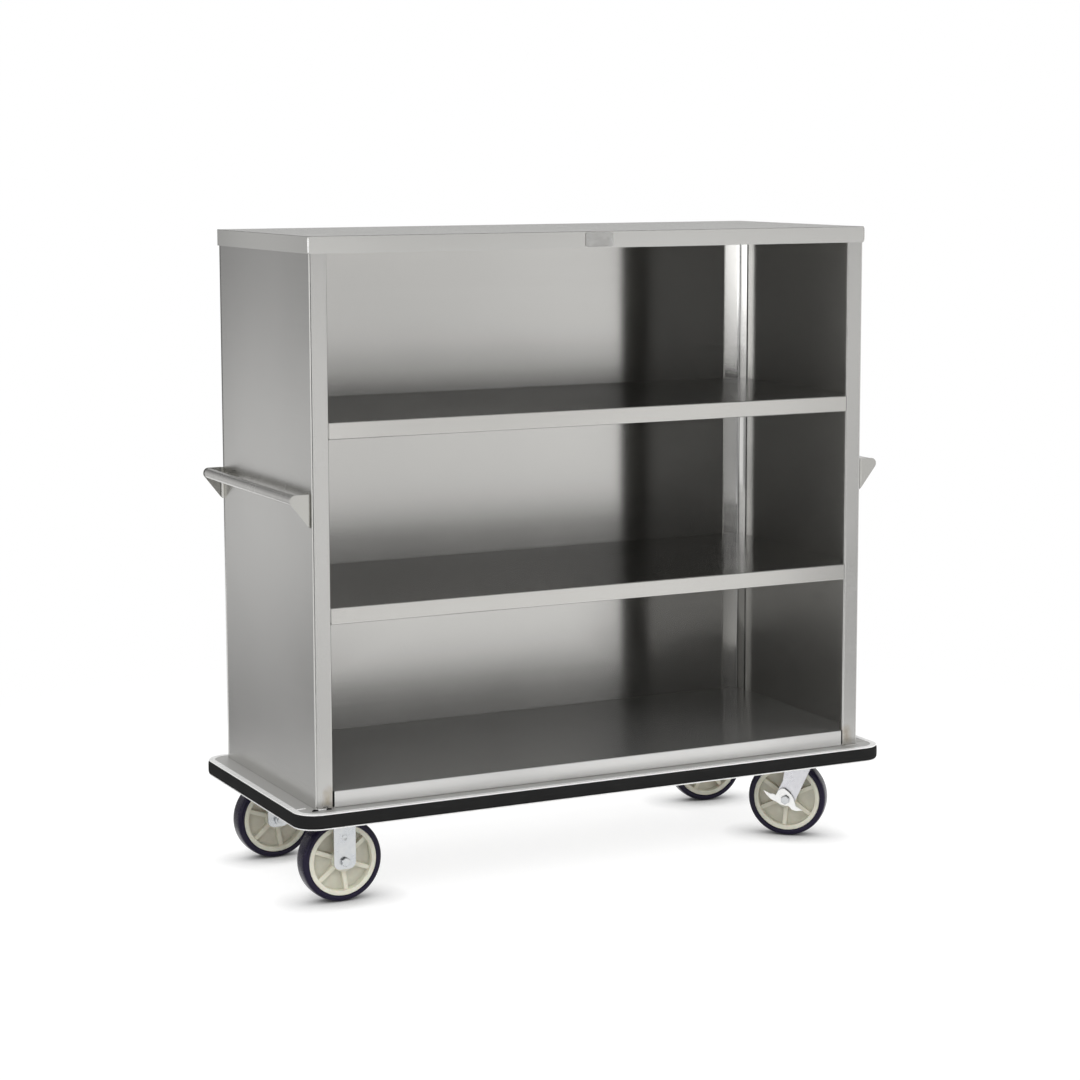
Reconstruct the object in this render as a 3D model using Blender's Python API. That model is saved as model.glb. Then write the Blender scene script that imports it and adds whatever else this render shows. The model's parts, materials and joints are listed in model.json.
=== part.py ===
"""Banquet cart: an open-fronted stainless steel cabinet with three shelves, on a bumpered deck with four casters.

Metres, +Z up. X runs along the cart's length, the open front faces -Y, and the floor is at Z = 0.
The origin is on the floor under the middle of the deck. The cabinet stands a little behind it, because the bumper
reaches further out at the front than at the back.
"""
import math

import bmesh
import bpy
from mathutils import Vector

# General sizes
FIT_GAP = 0.0003
OVERRUN = 0.004
SHEET = 0.0015
BEND_RADIUS = 0.0025
BEND_STEPS = 3

# Cabinet
CABINET_LENGTH = 1.505
CABINET_DEPTH = 0.611
CART_HEIGHT = 1.5825
CAP_SKIRT = 0.0398
CAP_FRONT_RETURN = 0.018
CAP_EDGE_RADIUS = 0.0018
POST_FACE = 0.0448
POST_HEM = 0.012
REAR_RETURN = 0.022
CORNER_ANGLE_LEG = 0.045
CORNER_ANGLE_SHEET = 0.002

# Shelves, by the height of their upper faces above the floor
UPPER_SHELF_HEIGHT = 1.155
MIDDLE_SHELF_HEIGHT = 0.7227
BOTTOM_SHELF_HEIGHT = 0.2877
SHELF_FACE = 0.0404
SHELF_FRONT_RETURN = 0.020
SHELF_FLANGE = 0.025
STIFFENER_WIDTH = 0.060
STIFFENER_DEPTH = 0.020
STIFFENER_FLANGE = 0.015
STIFFENER_END_SPACE = 0.050

# Deck and the frame below it
DECK_HEIGHT = 0.2474
DECK_SHEET = 0.0025
DECK_SKIRT = 0.034
CHANNEL_SHEET = 0.003
CHANNEL_WIDTH = 0.150
CHANNEL_FLANGE = 0.015
CHANNEL_END_SPACE = 0.004
RAIL_WIDTH = 0.060
RAIL_DEPTH = 0.018
RAIL_SIDE_INSET = 0.0755

# Bumper: a rubber strip in a metal track
BUMPER_END_REACH = 0.0550
BUMPER_FRONT_REACH = 0.0484
BUMPER_REAR_REACH = 0.0290
BUMPER_CORNER_RADIUS = 0.058
BUMPER_CORNER_STEPS = 7
STRIP_HEIGHT = 0.0313
STRIP_DEPTH = 0.0142
STRIP_PROUD = 0.002
TRACK_SHEET = 0.0028
TRACK_RISE = 0.0008

# Push handles
HANDLE_TUBE_RADIUS = 0.0127
HANDLE_TUBE_WALL = 0.0015
HANDLE_TUBE_SIDES = 24
HANDLE_HEIGHT = 0.977
HANDLE_STANDOFF = 0.0383
BRACKET_NOSE_RADIUS = 0.015
BRACKET_DROP = 0.065
BRACKET_TOE = 0.004
BRACKET_SHEET = 0.003
BRACKET_BEND = 0.006
BRACKET_FOOT = 0.024
BRACKET_INSET = 0.008
BRACKET_NOSE_STEPS = 8

# Blank plate on the top cap
NAME_PLATE_LENGTH = 0.075
NAME_PLATE_HEIGHT = 0.034
NAME_PLATE_THICKNESS = 0.0012
NAME_PLATE_CORNER = 0.006
NAME_PLATE_OFFSET = -0.004

# Caster places, inwards from the cabinet's ends and sides
RIGID_CHANNEL_INSET = 0.0175
SWIVEL_CHANNEL_INSET = 0.0275
CASTER_SIDE_INSET = 0.0340
FRONT_SWIVEL_TURN_DEG = -40.9
REAR_SWIVEL_TURN_DEG = -8.7

# Wheels
WHEEL_RADIUS = 0.1016
WHEEL_SIDES = 36
TREAD_WIDTH = 0.0508
TYRE_INNER_RADIUS = 0.0860
HUB_RING_INNER_RADIUS = 0.0740
HUB_RING_WIDTH = 0.0488
HUB_WEB = 0.014
HUB_RIBS = 6
HUB_RIB_THICKNESS = 0.009
HUB_RIB_WIDTH = 0.036
HUB_RIB_OVERLAP = 0.003
HUB_BOSS_RADIUS = 0.026
HUB_BOSS_LENGTH = 0.058
HUB_BORE_RADIUS = 0.0125
BEARING_LENGTH = 0.0652
HUB_TURN_DEG = {"front_left": 38.5, "rear_left": 41.0, "front_right": 25.0, "rear_right": 5.0}
# Each pair is a share of the tyre's thickness outwards from the hub and a share of half the tread width
TYRE_SECTION_SHARES = ((0.0, 0.98), (0.40, 1.0), (0.71, 0.95), (0.94, 0.79), (1.0, 0.50))

# Axles
AXLE_RADIUS = 0.00635
AXLE_CLEARANCE = 0.0003
AXLE_SIDES = 16
BOLT_HEAD_WIDTH = 0.0205
BOLT_HEAD_HEIGHT = 0.008
AXLE_END_LENGTH = 0.004

# Caster frames
CASTER_PLATE_LENGTH = 0.114
CASTER_PLATE_WIDTH = 0.102
CASTER_PLATE_THICKNESS = 0.0065
CASTER_PLATE_CORNER = 0.010
CORNER_STEPS = 4
LEG_GAP = 0.066
LEG_THICKNESS = 0.0045
CROWN_THICKNESS = 0.005
RIGID_LEG_WIDTH = 0.0554
RIGID_LEG_BELOW_AXLE = 0.018
RIGID_LEG_CORNER = 0.016
CASTER_LEAD = 0.046
RACE_RADIUS = 0.034
UPPER_RACE_HEIGHT = 0.007
LOWER_RACE_HEIGHT = 0.005
RACE_SIDES = 32
SEAL_INNER_RADIUS = 0.024
SEAL_OUTER_RADIUS = 0.0365
SEAL_HEIGHT = 0.003
KINGPIN_RADIUS = 0.009
KINGPIN_NUT_RADIUS = 0.015
KINGPIN_NUT_HEIGHT = 0.008
FORK_FOLD_SLOPE = 0.11
# Shares of the lead (along) and of the fork's height above the axle (up)
FORK_FRONT_EDGE_SHARES = ((-0.53, 0.11), (-0.17, 0.41), (-0.10, 0.60), (-0.04, 1.0))
FORK_CREASE_TOP_SHARE = 0.60
FORK_TOP_BACK_SHARE = 1.70
# Shares of the lead, along and up from the axle, round the foot of the leg to its crease, then on to its back
FORK_FOOT_SHARES = ((-0.50, -0.02), (-0.33, -0.20), (-0.08, -0.285), (0.20, -0.30))
FORK_TOE_SHARES = ((0.37, -0.36), (0.43, -0.30))

# Brake
BRAKE_CAM_RADIUS = 0.014
BRAKE_CAM_THICKNESS = 0.004
BRAKE_LEVER_THICKNESS = 0.0035
BRAKE_LEVER_REACH = 0.060
# Shares of the lever's reach, along and up from the axle, round the lever from the tip of its raised wing
BRAKE_LEVER_SHARES = (
    (-0.97, 0.37), (-0.65, 0.22), (-0.53, 0.23), (-0.42, 0.17), (-0.31, 0.37), (-0.17, 0.47), (-0.03, 0.47),
    (0.13, 0.34), (0.26, 0.22), (0.36, 0.05), (0.42, -0.13), (0.46, -0.28), (0.77, -0.44), (0.47, -0.48),
    (0.29, -0.43), (0.14, -0.27), (-0.01, -0.27), (-0.23, -0.22), (-0.38, -0.12), (-0.62, -0.02), (-0.82, 0.17),
)

# Heights and faces that follow from the sizes above
PANEL_X = CABINET_LENGTH / 2 - SHEET - FIT_GAP
PANEL_Y = CABINET_DEPTH / 2 - SHEET - FIT_GAP
PANEL_TOP = CART_HEIGHT - SHEET - FIT_GAP
PANEL_FOOT = DECK_HEIGHT + FIT_GAP
POST_INNER_X = PANEL_X - POST_FACE
INNER_X = PANEL_X - SHEET - FIT_GAP
BACK_PANEL_Y = PANEL_Y - SHEET - FIT_GAP
INNER_BACK_Y = BACK_PANEL_Y - SHEET - FIT_GAP
CHANNEL_TOP = DECK_HEIGHT - DECK_SHEET - FIT_GAP
CASTER_TOP = CHANNEL_TOP - CHANNEL_SHEET - FIT_GAP
AXLE_HEIGHT = WHEEL_RADIUS * math.cos(math.pi / WHEEL_SIDES)
LEG_INNER = LEG_GAP / 2
LEG_OUTER = LEG_INNER + LEG_THICKNESS
BUMPER_X = CABINET_LENGTH / 2 + BUMPER_END_REACH
BUMPER_Y = (CABINET_DEPTH + BUMPER_FRONT_REACH + BUMPER_REAR_REACH) / 2
CABINET_SHIFT = (BUMPER_FRONT_REACH - BUMPER_REAR_REACH) / 2
RIGID_CASTER_X = CABINET_LENGTH / 2 - RIGID_CHANNEL_INSET - CHANNEL_WIDTH / 2
SWIVEL_CASTER_X = CABINET_LENGTH / 2 - SWIVEL_CHANNEL_INSET - CHANNEL_WIDTH / 2
CASTER_Y = CABINET_DEPTH / 2 - CASTER_SIDE_INSET - CASTER_PLATE_WIDTH / 2
RAIL_Y = CABINET_DEPTH / 2 - RAIL_SIDE_INSET - RAIL_WIDTH / 2


# Scene helpers
def clear_scene():
    for item in list(bpy.data.objects):
        bpy.data.objects.remove(item, do_unlink=True)


def material(name, colour, roughness, metallic):
    made = bpy.data.materials.new(name)
    made.use_nodes = True
    shader = made.node_tree.nodes["Principled BSDF"]
    shader.inputs["Base Color"].default_value = (*colour, 1.0)
    shader.inputs["Roughness"].default_value = roughness
    shader.inputs["Metallic"].default_value = metallic
    return made


def mesh_from(mesh_name, shape, skin, smooth_deg=30.0):
    """Turns a bmesh into a mesh with its faces out, its material set and its round faces smooth."""
    bmesh.ops.recalc_face_normals(shape, faces=shape.faces)
    mesh = bpy.data.meshes.new(mesh_name)
    shape.to_mesh(mesh)
    shape.free()
    mesh.materials.append(skin)
    mesh.shade_smooth()
    mesh.set_sharp_from_angle(angle=math.radians(smooth_deg))
    return mesh


def place(name, mesh, location=(0.0, 0.0, 0.0), turn=0.0, parent=None):
    made = bpy.data.objects.new(name, mesh)
    bpy.context.scene.collection.objects.link(made)
    made.location = location
    made.rotation_euler = (0.0, 0.0, turn)
    made.parent = parent
    return made


def axis_point(name, location, turn=0.0, parent=None):
    """An empty that stands on a joint's axis and carries the pieces that move with it."""
    return place(name, None, location, turn, parent)


def combine(mesh_name, skin, base, added=(), removed=(), smooth_deg=30.0):
    """Joins the added shapes to the base, cuts the removed ones away and returns the finished mesh."""
    body = place(mesh_name + "_base", mesh_from(mesh_name + "_base", base, skin))
    tools = []
    for operation, shapes in (("UNION", added), ("DIFFERENCE", removed)):
        for number, shape in enumerate(shapes):
            tool_name = f"{mesh_name}_{operation.lower()}_{number}"
            tool = place(tool_name, mesh_from(tool_name, shape, skin))
            tool.hide_render = True
            tool.display_type = "WIRE"
            step = body.modifiers.new(tool_name, "BOOLEAN")
            step.operation = operation
            step.solver = "EXACT"
            step.object = tool
            tools.append(tool)
    bpy.context.view_layer.update()
    ready = body.evaluated_get(bpy.context.evaluated_depsgraph_get())
    mesh = bpy.data.meshes.new_from_object(ready)
    mesh.name = mesh_name
    for item in (body, *tools):
        bpy.data.objects.remove(item, do_unlink=True)
    mesh.shade_smooth()
    mesh.set_sharp_from_angle(angle=math.radians(smooth_deg))
    return mesh


# Outlines
def fillet(points, radius, steps, closed=False):
    """Rounds the inner corners of a path of flat points."""
    count = len(points)
    made = []
    for index, point in enumerate(points):
        here = Vector(point)
        if not closed and index in (0, count - 1):
            made.append(here)
            continue
        before = (Vector(points[index - 1]) - here).normalized()
        after = (Vector(points[(index + 1) % count]) - here).normalized()
        half = before.angle(after) / 2
        reach = radius / math.tan(half)
        centre = here + (before + after).normalized() * radius / math.sin(half)
        start = here + before * reach - centre
        end = here + after * reach - centre
        sweep = start.angle_signed(end)
        for step in range(steps + 1):
            turn = -sweep * step / steps
            made.append(centre + Vector((
                start.x * math.cos(turn) - start.y * math.sin(turn),
                start.x * math.sin(turn) + start.y * math.cos(turn),
            )))
    return made


def offset_left(path, distance):
    """A copy of an open path, moved to its left with mitred corners."""
    made = []
    for index, point in enumerate(path):
        normals = []
        if index > 0:
            along = (point - path[index - 1]).normalized()
            normals.append(Vector((-along.y, along.x)))
        if index < len(path) - 1:
            along = (path[index + 1] - point).normalized()
            normals.append(Vector((-along.y, along.x)))
        mean = sum(normals, Vector((0.0, 0.0))).normalized()
        made.append(point + mean * distance / mean.dot(normals[0]))
    return made


def folded(points, thickness, radius=BEND_RADIUS, steps=BEND_STEPS):
    """The closed outline of a sheet whose outer face follows the points and whose metal lies to the left."""
    outer = fillet(points, radius, steps)
    inner = offset_left(outer, thickness)
    return outer + inner[::-1]


def rounded_rectangle(half_x, half_y, radius, steps):
    corners = [(half_x, half_y), (-half_x, half_y), (-half_x, -half_y), (half_x, -half_y)]
    return fillet(corners, radius, steps, closed=True)


def arc(radius, start_deg, end_deg, steps):
    made = []
    for step in range(steps + 1):
        angle = math.radians(start_deg + (end_deg - start_deg) * step / steps)
        made.append(Vector((radius * math.cos(angle), radius * math.sin(angle))))
    return made


# Solids
def prism(outline, axis, low, high):
    """A flat outline drawn out along an axis. The outline holds the two other coordinates, in X, Y, Z order."""
    shape = bmesh.new()
    spots = {"X": lambda a, b: (low, a, b), "Y": lambda a, b: (a, low, b), "Z": lambda a, b: (a, b, low)}[axis]
    face = shape.faces.new([shape.verts.new(spots(*point)) for point in outline])
    grown = bmesh.ops.extrude_face_region(shape, geom=[face])
    way = Vector([float(axis == name) for name in "XYZ"]) * (high - low)
    fresh = [item for item in grown["geom"] if isinstance(item, bmesh.types.BMVert)]
    bmesh.ops.translate(shape, verts=fresh, vec=way)
    return shape


def box(low, high):
    outline = [(low[0], low[1]), (high[0], low[1]), (high[0], high[1]), (low[0], high[1])]
    return prism(outline, "Z", low[2], high[2])


def turned(profile, sides, axis="Y", first_deg=0.0):
    """A ring-shaped solid of revolution. The profile is a closed loop of (radius, along) points."""
    shape = bmesh.new()
    rings = []
    for step in range(sides):
        angle = math.radians(first_deg) + 2 * math.pi * step / sides
        ring = []
        for radius, along in profile:
            a, b = radius * math.cos(angle), radius * math.sin(angle)
            ring.append(shape.verts.new((a, along, b) if axis == "Y" else (a, b, along)))
        rings.append(ring)
    for step, ring in enumerate(rings):
        following = rings[(step + 1) % sides]
        for index in range(len(ring)):
            other = (index + 1) % len(ring)
            shape.faces.new((ring[index], ring[other], following[other], following[index]))
    return shape


def cylinder(radius, low, high, sides, axis="Y", first_deg=0.0):
    outline = [(point.x, point.y) for point in arc(radius, first_deg, first_deg + 360.0, sides)[:-1]]
    return prism(outline, axis, low, high)


def hexagon(width, low, high):
    """A hexagonal prism along Y, as wide across its flats as stated."""
    return cylinder(width / 2 / math.cos(math.pi / 6), low, high, 6)


def loop_sweep(section, half_x, half_y, radius, steps):
    """A section of (outwards, height) points swept round a rounded rectangle."""
    shape = bmesh.new()
    loops = []
    for outwards, height in section:
        outline = rounded_rectangle(half_x + outwards, half_y + outwards, radius + outwards, steps)
        loops.append([shape.verts.new((point.x, point.y, height)) for point in outline])
    count = len(loops[0])
    for index, loop in enumerate(loops):
        other = loops[(index + 1) % len(loops)]
        for spot in range(count):
            after = (spot + 1) % count
            shape.faces.new((loop[spot], loop[after], other[after], other[spot]))
    return shape


# Materials
def make_materials():
    return {
        "panel": material("brushed_stainless_panel", (0.42, 0.41, 0.40), 0.32, 1.0),
        "bright": material("bright_stainless", (0.66, 0.65, 0.63), 0.28, 1.0),
        "track": material("satin_metal_track", (0.70, 0.70, 0.69), 0.30, 1.0),
        "zinc": material("zinc_plated_steel", (0.80, 0.81, 0.83), 0.30, 1.0),
        "rubber": material("black_rubber", (0.020, 0.020, 0.021), 0.55, 0.0),
        "tyre": material("dark_tyre", (0.012, 0.010, 0.016), 0.35, 0.0),
        "hub": material("cream_grey_plastic", (0.56, 0.54, 0.46), 0.45, 0.0),
        "bearing": material("bearing_steel", (0.45, 0.45, 0.46), 0.35, 1.0),
        "plate": material("blank_plate_metal", (0.55, 0.55, 0.55), 0.35, 1.0),
        "seal": material("seal_rubber", (0.05, 0.05, 0.05), 0.6, 0.0),
    }


# Cabinet
def top_cap(skins, cart):
    """A shallow lid folded down on four sides, with a return under its front edge between the posts."""
    half_x, half_y = CABINET_LENGTH / 2, CABINET_DEPTH / 2
    skirt_foot = CART_HEIGHT - CAP_SKIRT
    shape = prism(rounded_rectangle(half_x, half_y, CAP_EDGE_RADIUS, BEND_STEPS), "Z", skirt_foot, CART_HEIGHT)
    rim = [edge for edge in shape.edges if all(vert.co.z > CART_HEIGHT - CAP_SKIRT / 2 for vert in edge.verts)]
    bmesh.ops.bevel(shape, geom=rim, offset=CAP_EDGE_RADIUS / 2, segments=2, affect="EDGES", profile=0.5)
    hollow = box(
        (-half_x + SHEET, -half_y + SHEET, skirt_foot - OVERRUN),
        (half_x - SHEET, half_y - SHEET, CART_HEIGHT - SHEET),
    )
    lid = combine("top_cap_lid", skins["panel"], shape, removed=[hollow])
    lid_shape = bmesh.new()
    lid_shape.from_mesh(lid)
    bpy.data.meshes.remove(lid)
    front_return = box(
        (-POST_INNER_X + FIT_GAP, -half_y + SHEET / 2, skirt_foot),
        (POST_INNER_X - FIT_GAP, -half_y + CAP_FRONT_RETURN, skirt_foot + SHEET),
    )
    place("top_cap", combine("top_cap", skins["panel"], lid_shape, added=[front_return]), parent=cart)


def side_panel(name, side, skins, cart):
    """An end sheet with a broad return and hem at the front and a narrow return at the back."""
    points = [
        (POST_INNER_X, -PANEL_Y + POST_HEM),
        (POST_INNER_X, -PANEL_Y),
        (PANEL_X, -PANEL_Y),
        (PANEL_X, PANEL_Y),
        (PANEL_X - REAR_RETURN, PANEL_Y),
    ]
    outline = [(side * point.x, point.y) for point in folded(points, SHEET)]
    shape = prism(outline, "Z", PANEL_FOOT, PANEL_TOP)
    place(name, mesh_from(name, shape, skins["panel"]), parent=cart)


def back_panel(skins, cart):
    end = INNER_X - BEND_RADIUS
    shape = box((-end, BACK_PANEL_Y - SHEET, PANEL_FOOT), (end, BACK_PANEL_Y, PANEL_TOP))
    place("back_panel", mesh_from("back_panel", shape, skins["panel"]), parent=cart)


def corner_angle_outline(side, grow=0.0):
    """The plan of a rear corner angle, its heel in the corner of the side panel and the back panel."""
    heel_x, heel_y = INNER_X, INNER_BACK_Y
    inner = CORNER_ANGLE_SHEET + grow
    leg = CORNER_ANGLE_LEG + grow
    points = [
        (heel_x + grow, heel_y + grow),
        (heel_x - leg, heel_y + grow),
        (heel_x - leg, heel_y - inner),
        (heel_x - inner, heel_y - inner),
        (heel_x - inner, heel_y - leg),
        (heel_x + grow, heel_y - leg),
    ]
    return [(side * x, y) for x, y in points]


def corner_post(name, side, skins, cart):
    shape = prism(corner_angle_outline(side), "Z", PANEL_FOOT, PANEL_TOP)
    place(name, mesh_from(name, shape, skins["bright"]), parent=cart)


def shelf(name, height, face, skins, cart):
    """A folded sheet: a front face with a return below, a rear flange, end flanges and notches for the posts."""
    rear_flange_foot = max(height - SHELF_FLANGE, height - face)
    points = [
        (-PANEL_Y + SHELF_FRONT_RETURN, height - face),
        (-PANEL_Y, height - face),
        (-PANEL_Y, height),
        (INNER_BACK_Y, height),
        (INNER_BACK_Y, rear_flange_foot),
    ]
    outline = [(point.x, point.y) for point in folded(points, -SHEET)]
    shape = prism(outline, "X", -INNER_X, INNER_X)
    end_flanges = []
    for side in (-1, 1):
        near, far = side * (INNER_X - SHEET), side * INNER_X
        end_flanges.append(box(
            (min(near, far), -PANEL_Y + POST_HEM + 2 * SHEET, rear_flange_foot),
            (max(near, far), INNER_BACK_Y - SHEET / 2, height - SHEET / 2),
        ))
    cuts = []
    for side in (-1, 1):
        near, far = side * (POST_INNER_X - FIT_GAP), side * (PANEL_X + OVERRUN)
        cuts.append(box(
            (min(near, far), -PANEL_Y - OVERRUN, height - face - OVERRUN),
            (max(near, far), -PANEL_Y + POST_HEM + FIT_GAP, height + OVERRUN),
        ))
        angle = corner_angle_outline(side, FIT_GAP)
        cuts.append(prism(angle, "Z", height - face - OVERRUN, height + OVERRUN))
    place(name, combine(name, skins["bright"], shape, added=end_flanges, removed=cuts), parent=cart)


def stiffener(name, shelf_height, skins, cart):
    """A hat section under a shelf, its two flanges against the sheet."""
    top = shelf_height - SHEET - FIT_GAP
    foot = top - STIFFENER_DEPTH + SHEET
    inner, outer = STIFFENER_WIDTH / 2, STIFFENER_WIDTH / 2 + STIFFENER_FLANGE
    points = [(-outer, top), (-inner, top), (-inner, foot), (inner, foot), (inner, top), (outer, top)]
    outline = folded(points, -SHEET)
    end = INNER_X - STIFFENER_END_SPACE
    shape = prism([(point.x, point.y) for point in outline], "X", -end, end)
    place(name, mesh_from(name, shape, skins["panel"]), parent=cart)


# Base
def base_deck(skins, base):
    """The deck pan: a flat sheet with rounded corners and a skirt folded down all round."""
    half_x, half_y = deck_half_sizes()
    radius = deck_corner_radius()
    outside = rounded_rectangle(half_x, half_y, radius, BUMPER_CORNER_STEPS)
    inside = rounded_rectangle(half_x - DECK_SHEET, half_y - DECK_SHEET, radius - DECK_SHEET, BUMPER_CORNER_STEPS)
    shape = prism(outside, "Z", DECK_HEIGHT - DECK_SKIRT, DECK_HEIGHT)
    hollow = prism(inside, "Z", DECK_HEIGHT - DECK_SKIRT - OVERRUN, DECK_HEIGHT - DECK_SHEET)
    place("base_deck", combine("base_deck", skins["panel"], shape, removed=[hollow]), parent=base)


def deck_half_sizes():
    inset = STRIP_DEPTH + FIT_GAP + TRACK_SHEET + FIT_GAP
    return BUMPER_X - inset, BUMPER_Y - inset


def deck_corner_radius():
    return BUMPER_CORNER_RADIUS - STRIP_DEPTH - TRACK_SHEET - 2 * FIT_GAP


def down_channel(width, depth, thickness, top):
    """The outline of a channel that opens downwards, as (across, height)."""
    half = width / 2
    points = [(half, top - depth), (half, top), (-half, top), (-half, top - depth)]
    return folded(points, thickness, BEND_RADIUS + thickness, BEND_STEPS)


def caster_channel(name, centre_x, skins, base):
    half_y = deck_half_sizes()[1] - DECK_SHEET - CHANNEL_END_SPACE
    outline = down_channel(CHANNEL_WIDTH, CHANNEL_FLANGE, CHANNEL_SHEET, CHANNEL_TOP)
    shape = prism([(centre_x + point.x, point.y) for point in outline], "Y", -half_y, half_y)
    place(name, mesh_from(name, shape, skins["panel"]), parent=base)


def frame_rail(name, side, skins, cart):
    low = -RIGID_CASTER_X + CHANNEL_WIDTH / 2 + FIT_GAP
    high = SWIVEL_CASTER_X - CHANNEL_WIDTH / 2 - FIT_GAP
    outline = down_channel(RAIL_WIDTH, RAIL_DEPTH, SHEET, CHANNEL_TOP)
    shape = prism([(side * RAIL_Y + point.x, point.y) for point in outline], "X", low, high)
    place(name, mesh_from(name, shape, skins["panel"]), parent=cart)


def bumper(skins, base):
    """A channel-shaped track round the deck's skirt and the rubber strip that it grips."""
    half_x, half_y = deck_half_sizes()
    radius = deck_corner_radius()
    top = DECK_HEIGHT + TRACK_RISE
    foot = top - STRIP_HEIGHT - 2 * TRACK_SHEET - 2 * FIT_GAP
    web_in, web_out = FIT_GAP, FIT_GAP + TRACK_SHEET
    lip = web_out + FIT_GAP + STRIP_DEPTH - STRIP_PROUD
    track = [
        (web_in, foot), (lip, foot), (lip, foot + TRACK_SHEET), (web_out, foot + TRACK_SHEET),
        (web_out, top - TRACK_SHEET), (lip, top - TRACK_SHEET), (lip, top), (web_in, top),
    ]
    shape = loop_sweep(track, half_x, half_y, radius, BUMPER_CORNER_STEPS)
    place("bumper_track", mesh_from("bumper_track", shape, skins["track"]), parent=base)
    low, high = foot + TRACK_SHEET + FIT_GAP, top - TRACK_SHEET - FIT_GAP
    back, face = web_out + FIT_GAP, web_out + FIT_GAP + STRIP_DEPTH
    crown = STRIP_PROUD
    strip = [
        (back, low), (face - 2 * crown, low), (face - crown / 2, low + crown), (face, low + 3 * crown),
        (face, high - 3 * crown), (face - crown / 2, high - crown), (face - 2 * crown, high), (back, high),
    ]
    shape = loop_sweep(strip, half_x, half_y, radius, BUMPER_CORNER_STEPS)
    place("bumper_strip", mesh_from("bumper_strip", shape, skins["rubber"]), parent=base)


# Handles
def handle_tube(name, side, skins, cart):
    half = PANEL_Y - BRACKET_INSET - BRACKET_SHEET - FIT_GAP
    inner = HANDLE_TUBE_RADIUS - HANDLE_TUBE_WALL
    profile = [(inner, -half), (HANDLE_TUBE_RADIUS, -half), (HANDLE_TUBE_RADIUS, half), (inner, half)]
    mesh = mesh_from(name, turned(profile, HANDLE_TUBE_SIDES), skins["bright"])
    place(name, mesh, (side * (PANEL_X + HANDLE_STANDOFF), 0.0, HANDLE_HEIGHT), parent=cart)


def handle_bracket(name, side, end, skins, cart):
    """A bent plate: a wedge with a round nose that carries the tube, and a foot against the side panel."""
    face = PANEL_X + FIT_GAP
    nose_x = PANEL_X + HANDLE_STANDOFF
    top = HANDLE_HEIGHT + BRACKET_NOSE_RADIUS
    toe = HANDLE_HEIGHT - BRACKET_DROP
    plate_y = PANEL_Y - BRACKET_INSET
    reach = nose_x + BRACKET_NOSE_RADIUS + OVERRUN
    plan = folded([(reach, plate_y), (face, plate_y), (face, plate_y - BRACKET_FOOT)], BRACKET_SHEET, BRACKET_BEND)
    bent = prism([(side * point.x, end * point.y) for point in plan], "Z", toe - OVERRUN, top + OVERRUN)
    down = Vector((face + BRACKET_TOE - nose_x, toe - HANDLE_HEIGHT))
    tangent = math.degrees(math.atan2(down.y, down.x) + math.acos(BRACKET_NOSE_RADIUS / down.length))
    nose = arc(BRACKET_NOSE_RADIUS, 90.0, tangent, BRACKET_NOSE_STEPS)
    wedge = [(face - OVERRUN, toe), (face - OVERRUN, top)]
    wedge += [(nose_x + point.x, HANDLE_HEIGHT + point.y) for point in nose]
    wedge.append((face + BRACKET_TOE, toe))
    low, high = sorted((end * (plate_y + OVERRUN), end * (plate_y - BRACKET_FOOT - OVERRUN)))
    blank = prism([(side * x, z) for x, z in wedge], "Y", low, high)
    mesh = intersect(name, skins["bright"], bent, blank)
    place(name, mesh, parent=cart)


def intersect(mesh_name, skin, first, second):
    """The metal that two shapes share."""
    body = place(mesh_name + "_base", mesh_from(mesh_name + "_base", first, skin))
    tool = place(mesh_name + "_blank", mesh_from(mesh_name + "_blank", second, skin))
    tool.hide_render = True
    tool.display_type = "WIRE"
    step = body.modifiers.new("shared", "BOOLEAN")
    step.operation = "INTERSECT"
    step.solver = "EXACT"
    step.object = tool
    bpy.context.view_layer.update()
    ready = body.evaluated_get(bpy.context.evaluated_depsgraph_get())
    mesh = bpy.data.meshes.new_from_object(ready)
    mesh.name = mesh_name
    for item in (body, tool):
        bpy.data.objects.remove(item, do_unlink=True)
    mesh.shade_smooth()
    mesh.set_sharp_from_angle(angle=math.radians(30.0))
    return mesh


def name_plate(skins, cart):
    half_z = NAME_PLATE_HEIGHT / 2
    centre_z = CART_HEIGHT - CAP_SKIRT / 2
    outline = rounded_rectangle(NAME_PLATE_LENGTH / 2, half_z, NAME_PLATE_CORNER, CORNER_STEPS)
    face = -CABINET_DEPTH / 2 - FIT_GAP
    spots = [(NAME_PLATE_OFFSET + point.x, centre_z + point.y) for point in outline]
    shape = prism(spots, "Y", face - NAME_PLATE_THICKNESS, face)
    place("name_plate_blank", mesh_from("name_plate_blank", shape, skins["plate"]), parent=cart)


# Wheels
def tyre_mesh(skins):
    depth = WHEEL_RADIUS - TYRE_INNER_RADIUS
    half = TREAD_WIDTH / 2
    near = [(TYRE_INNER_RADIUS + out * depth, -wide * half) for out, wide in TYRE_SECTION_SHARES]
    far = [(radius, -along) for radius, along in reversed(near)]
    return mesh_from("tyre", turned(near + far, WHEEL_SIDES, first_deg=-90.0 + 180.0 / WHEEL_SIDES), skins["tyre"])


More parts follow.
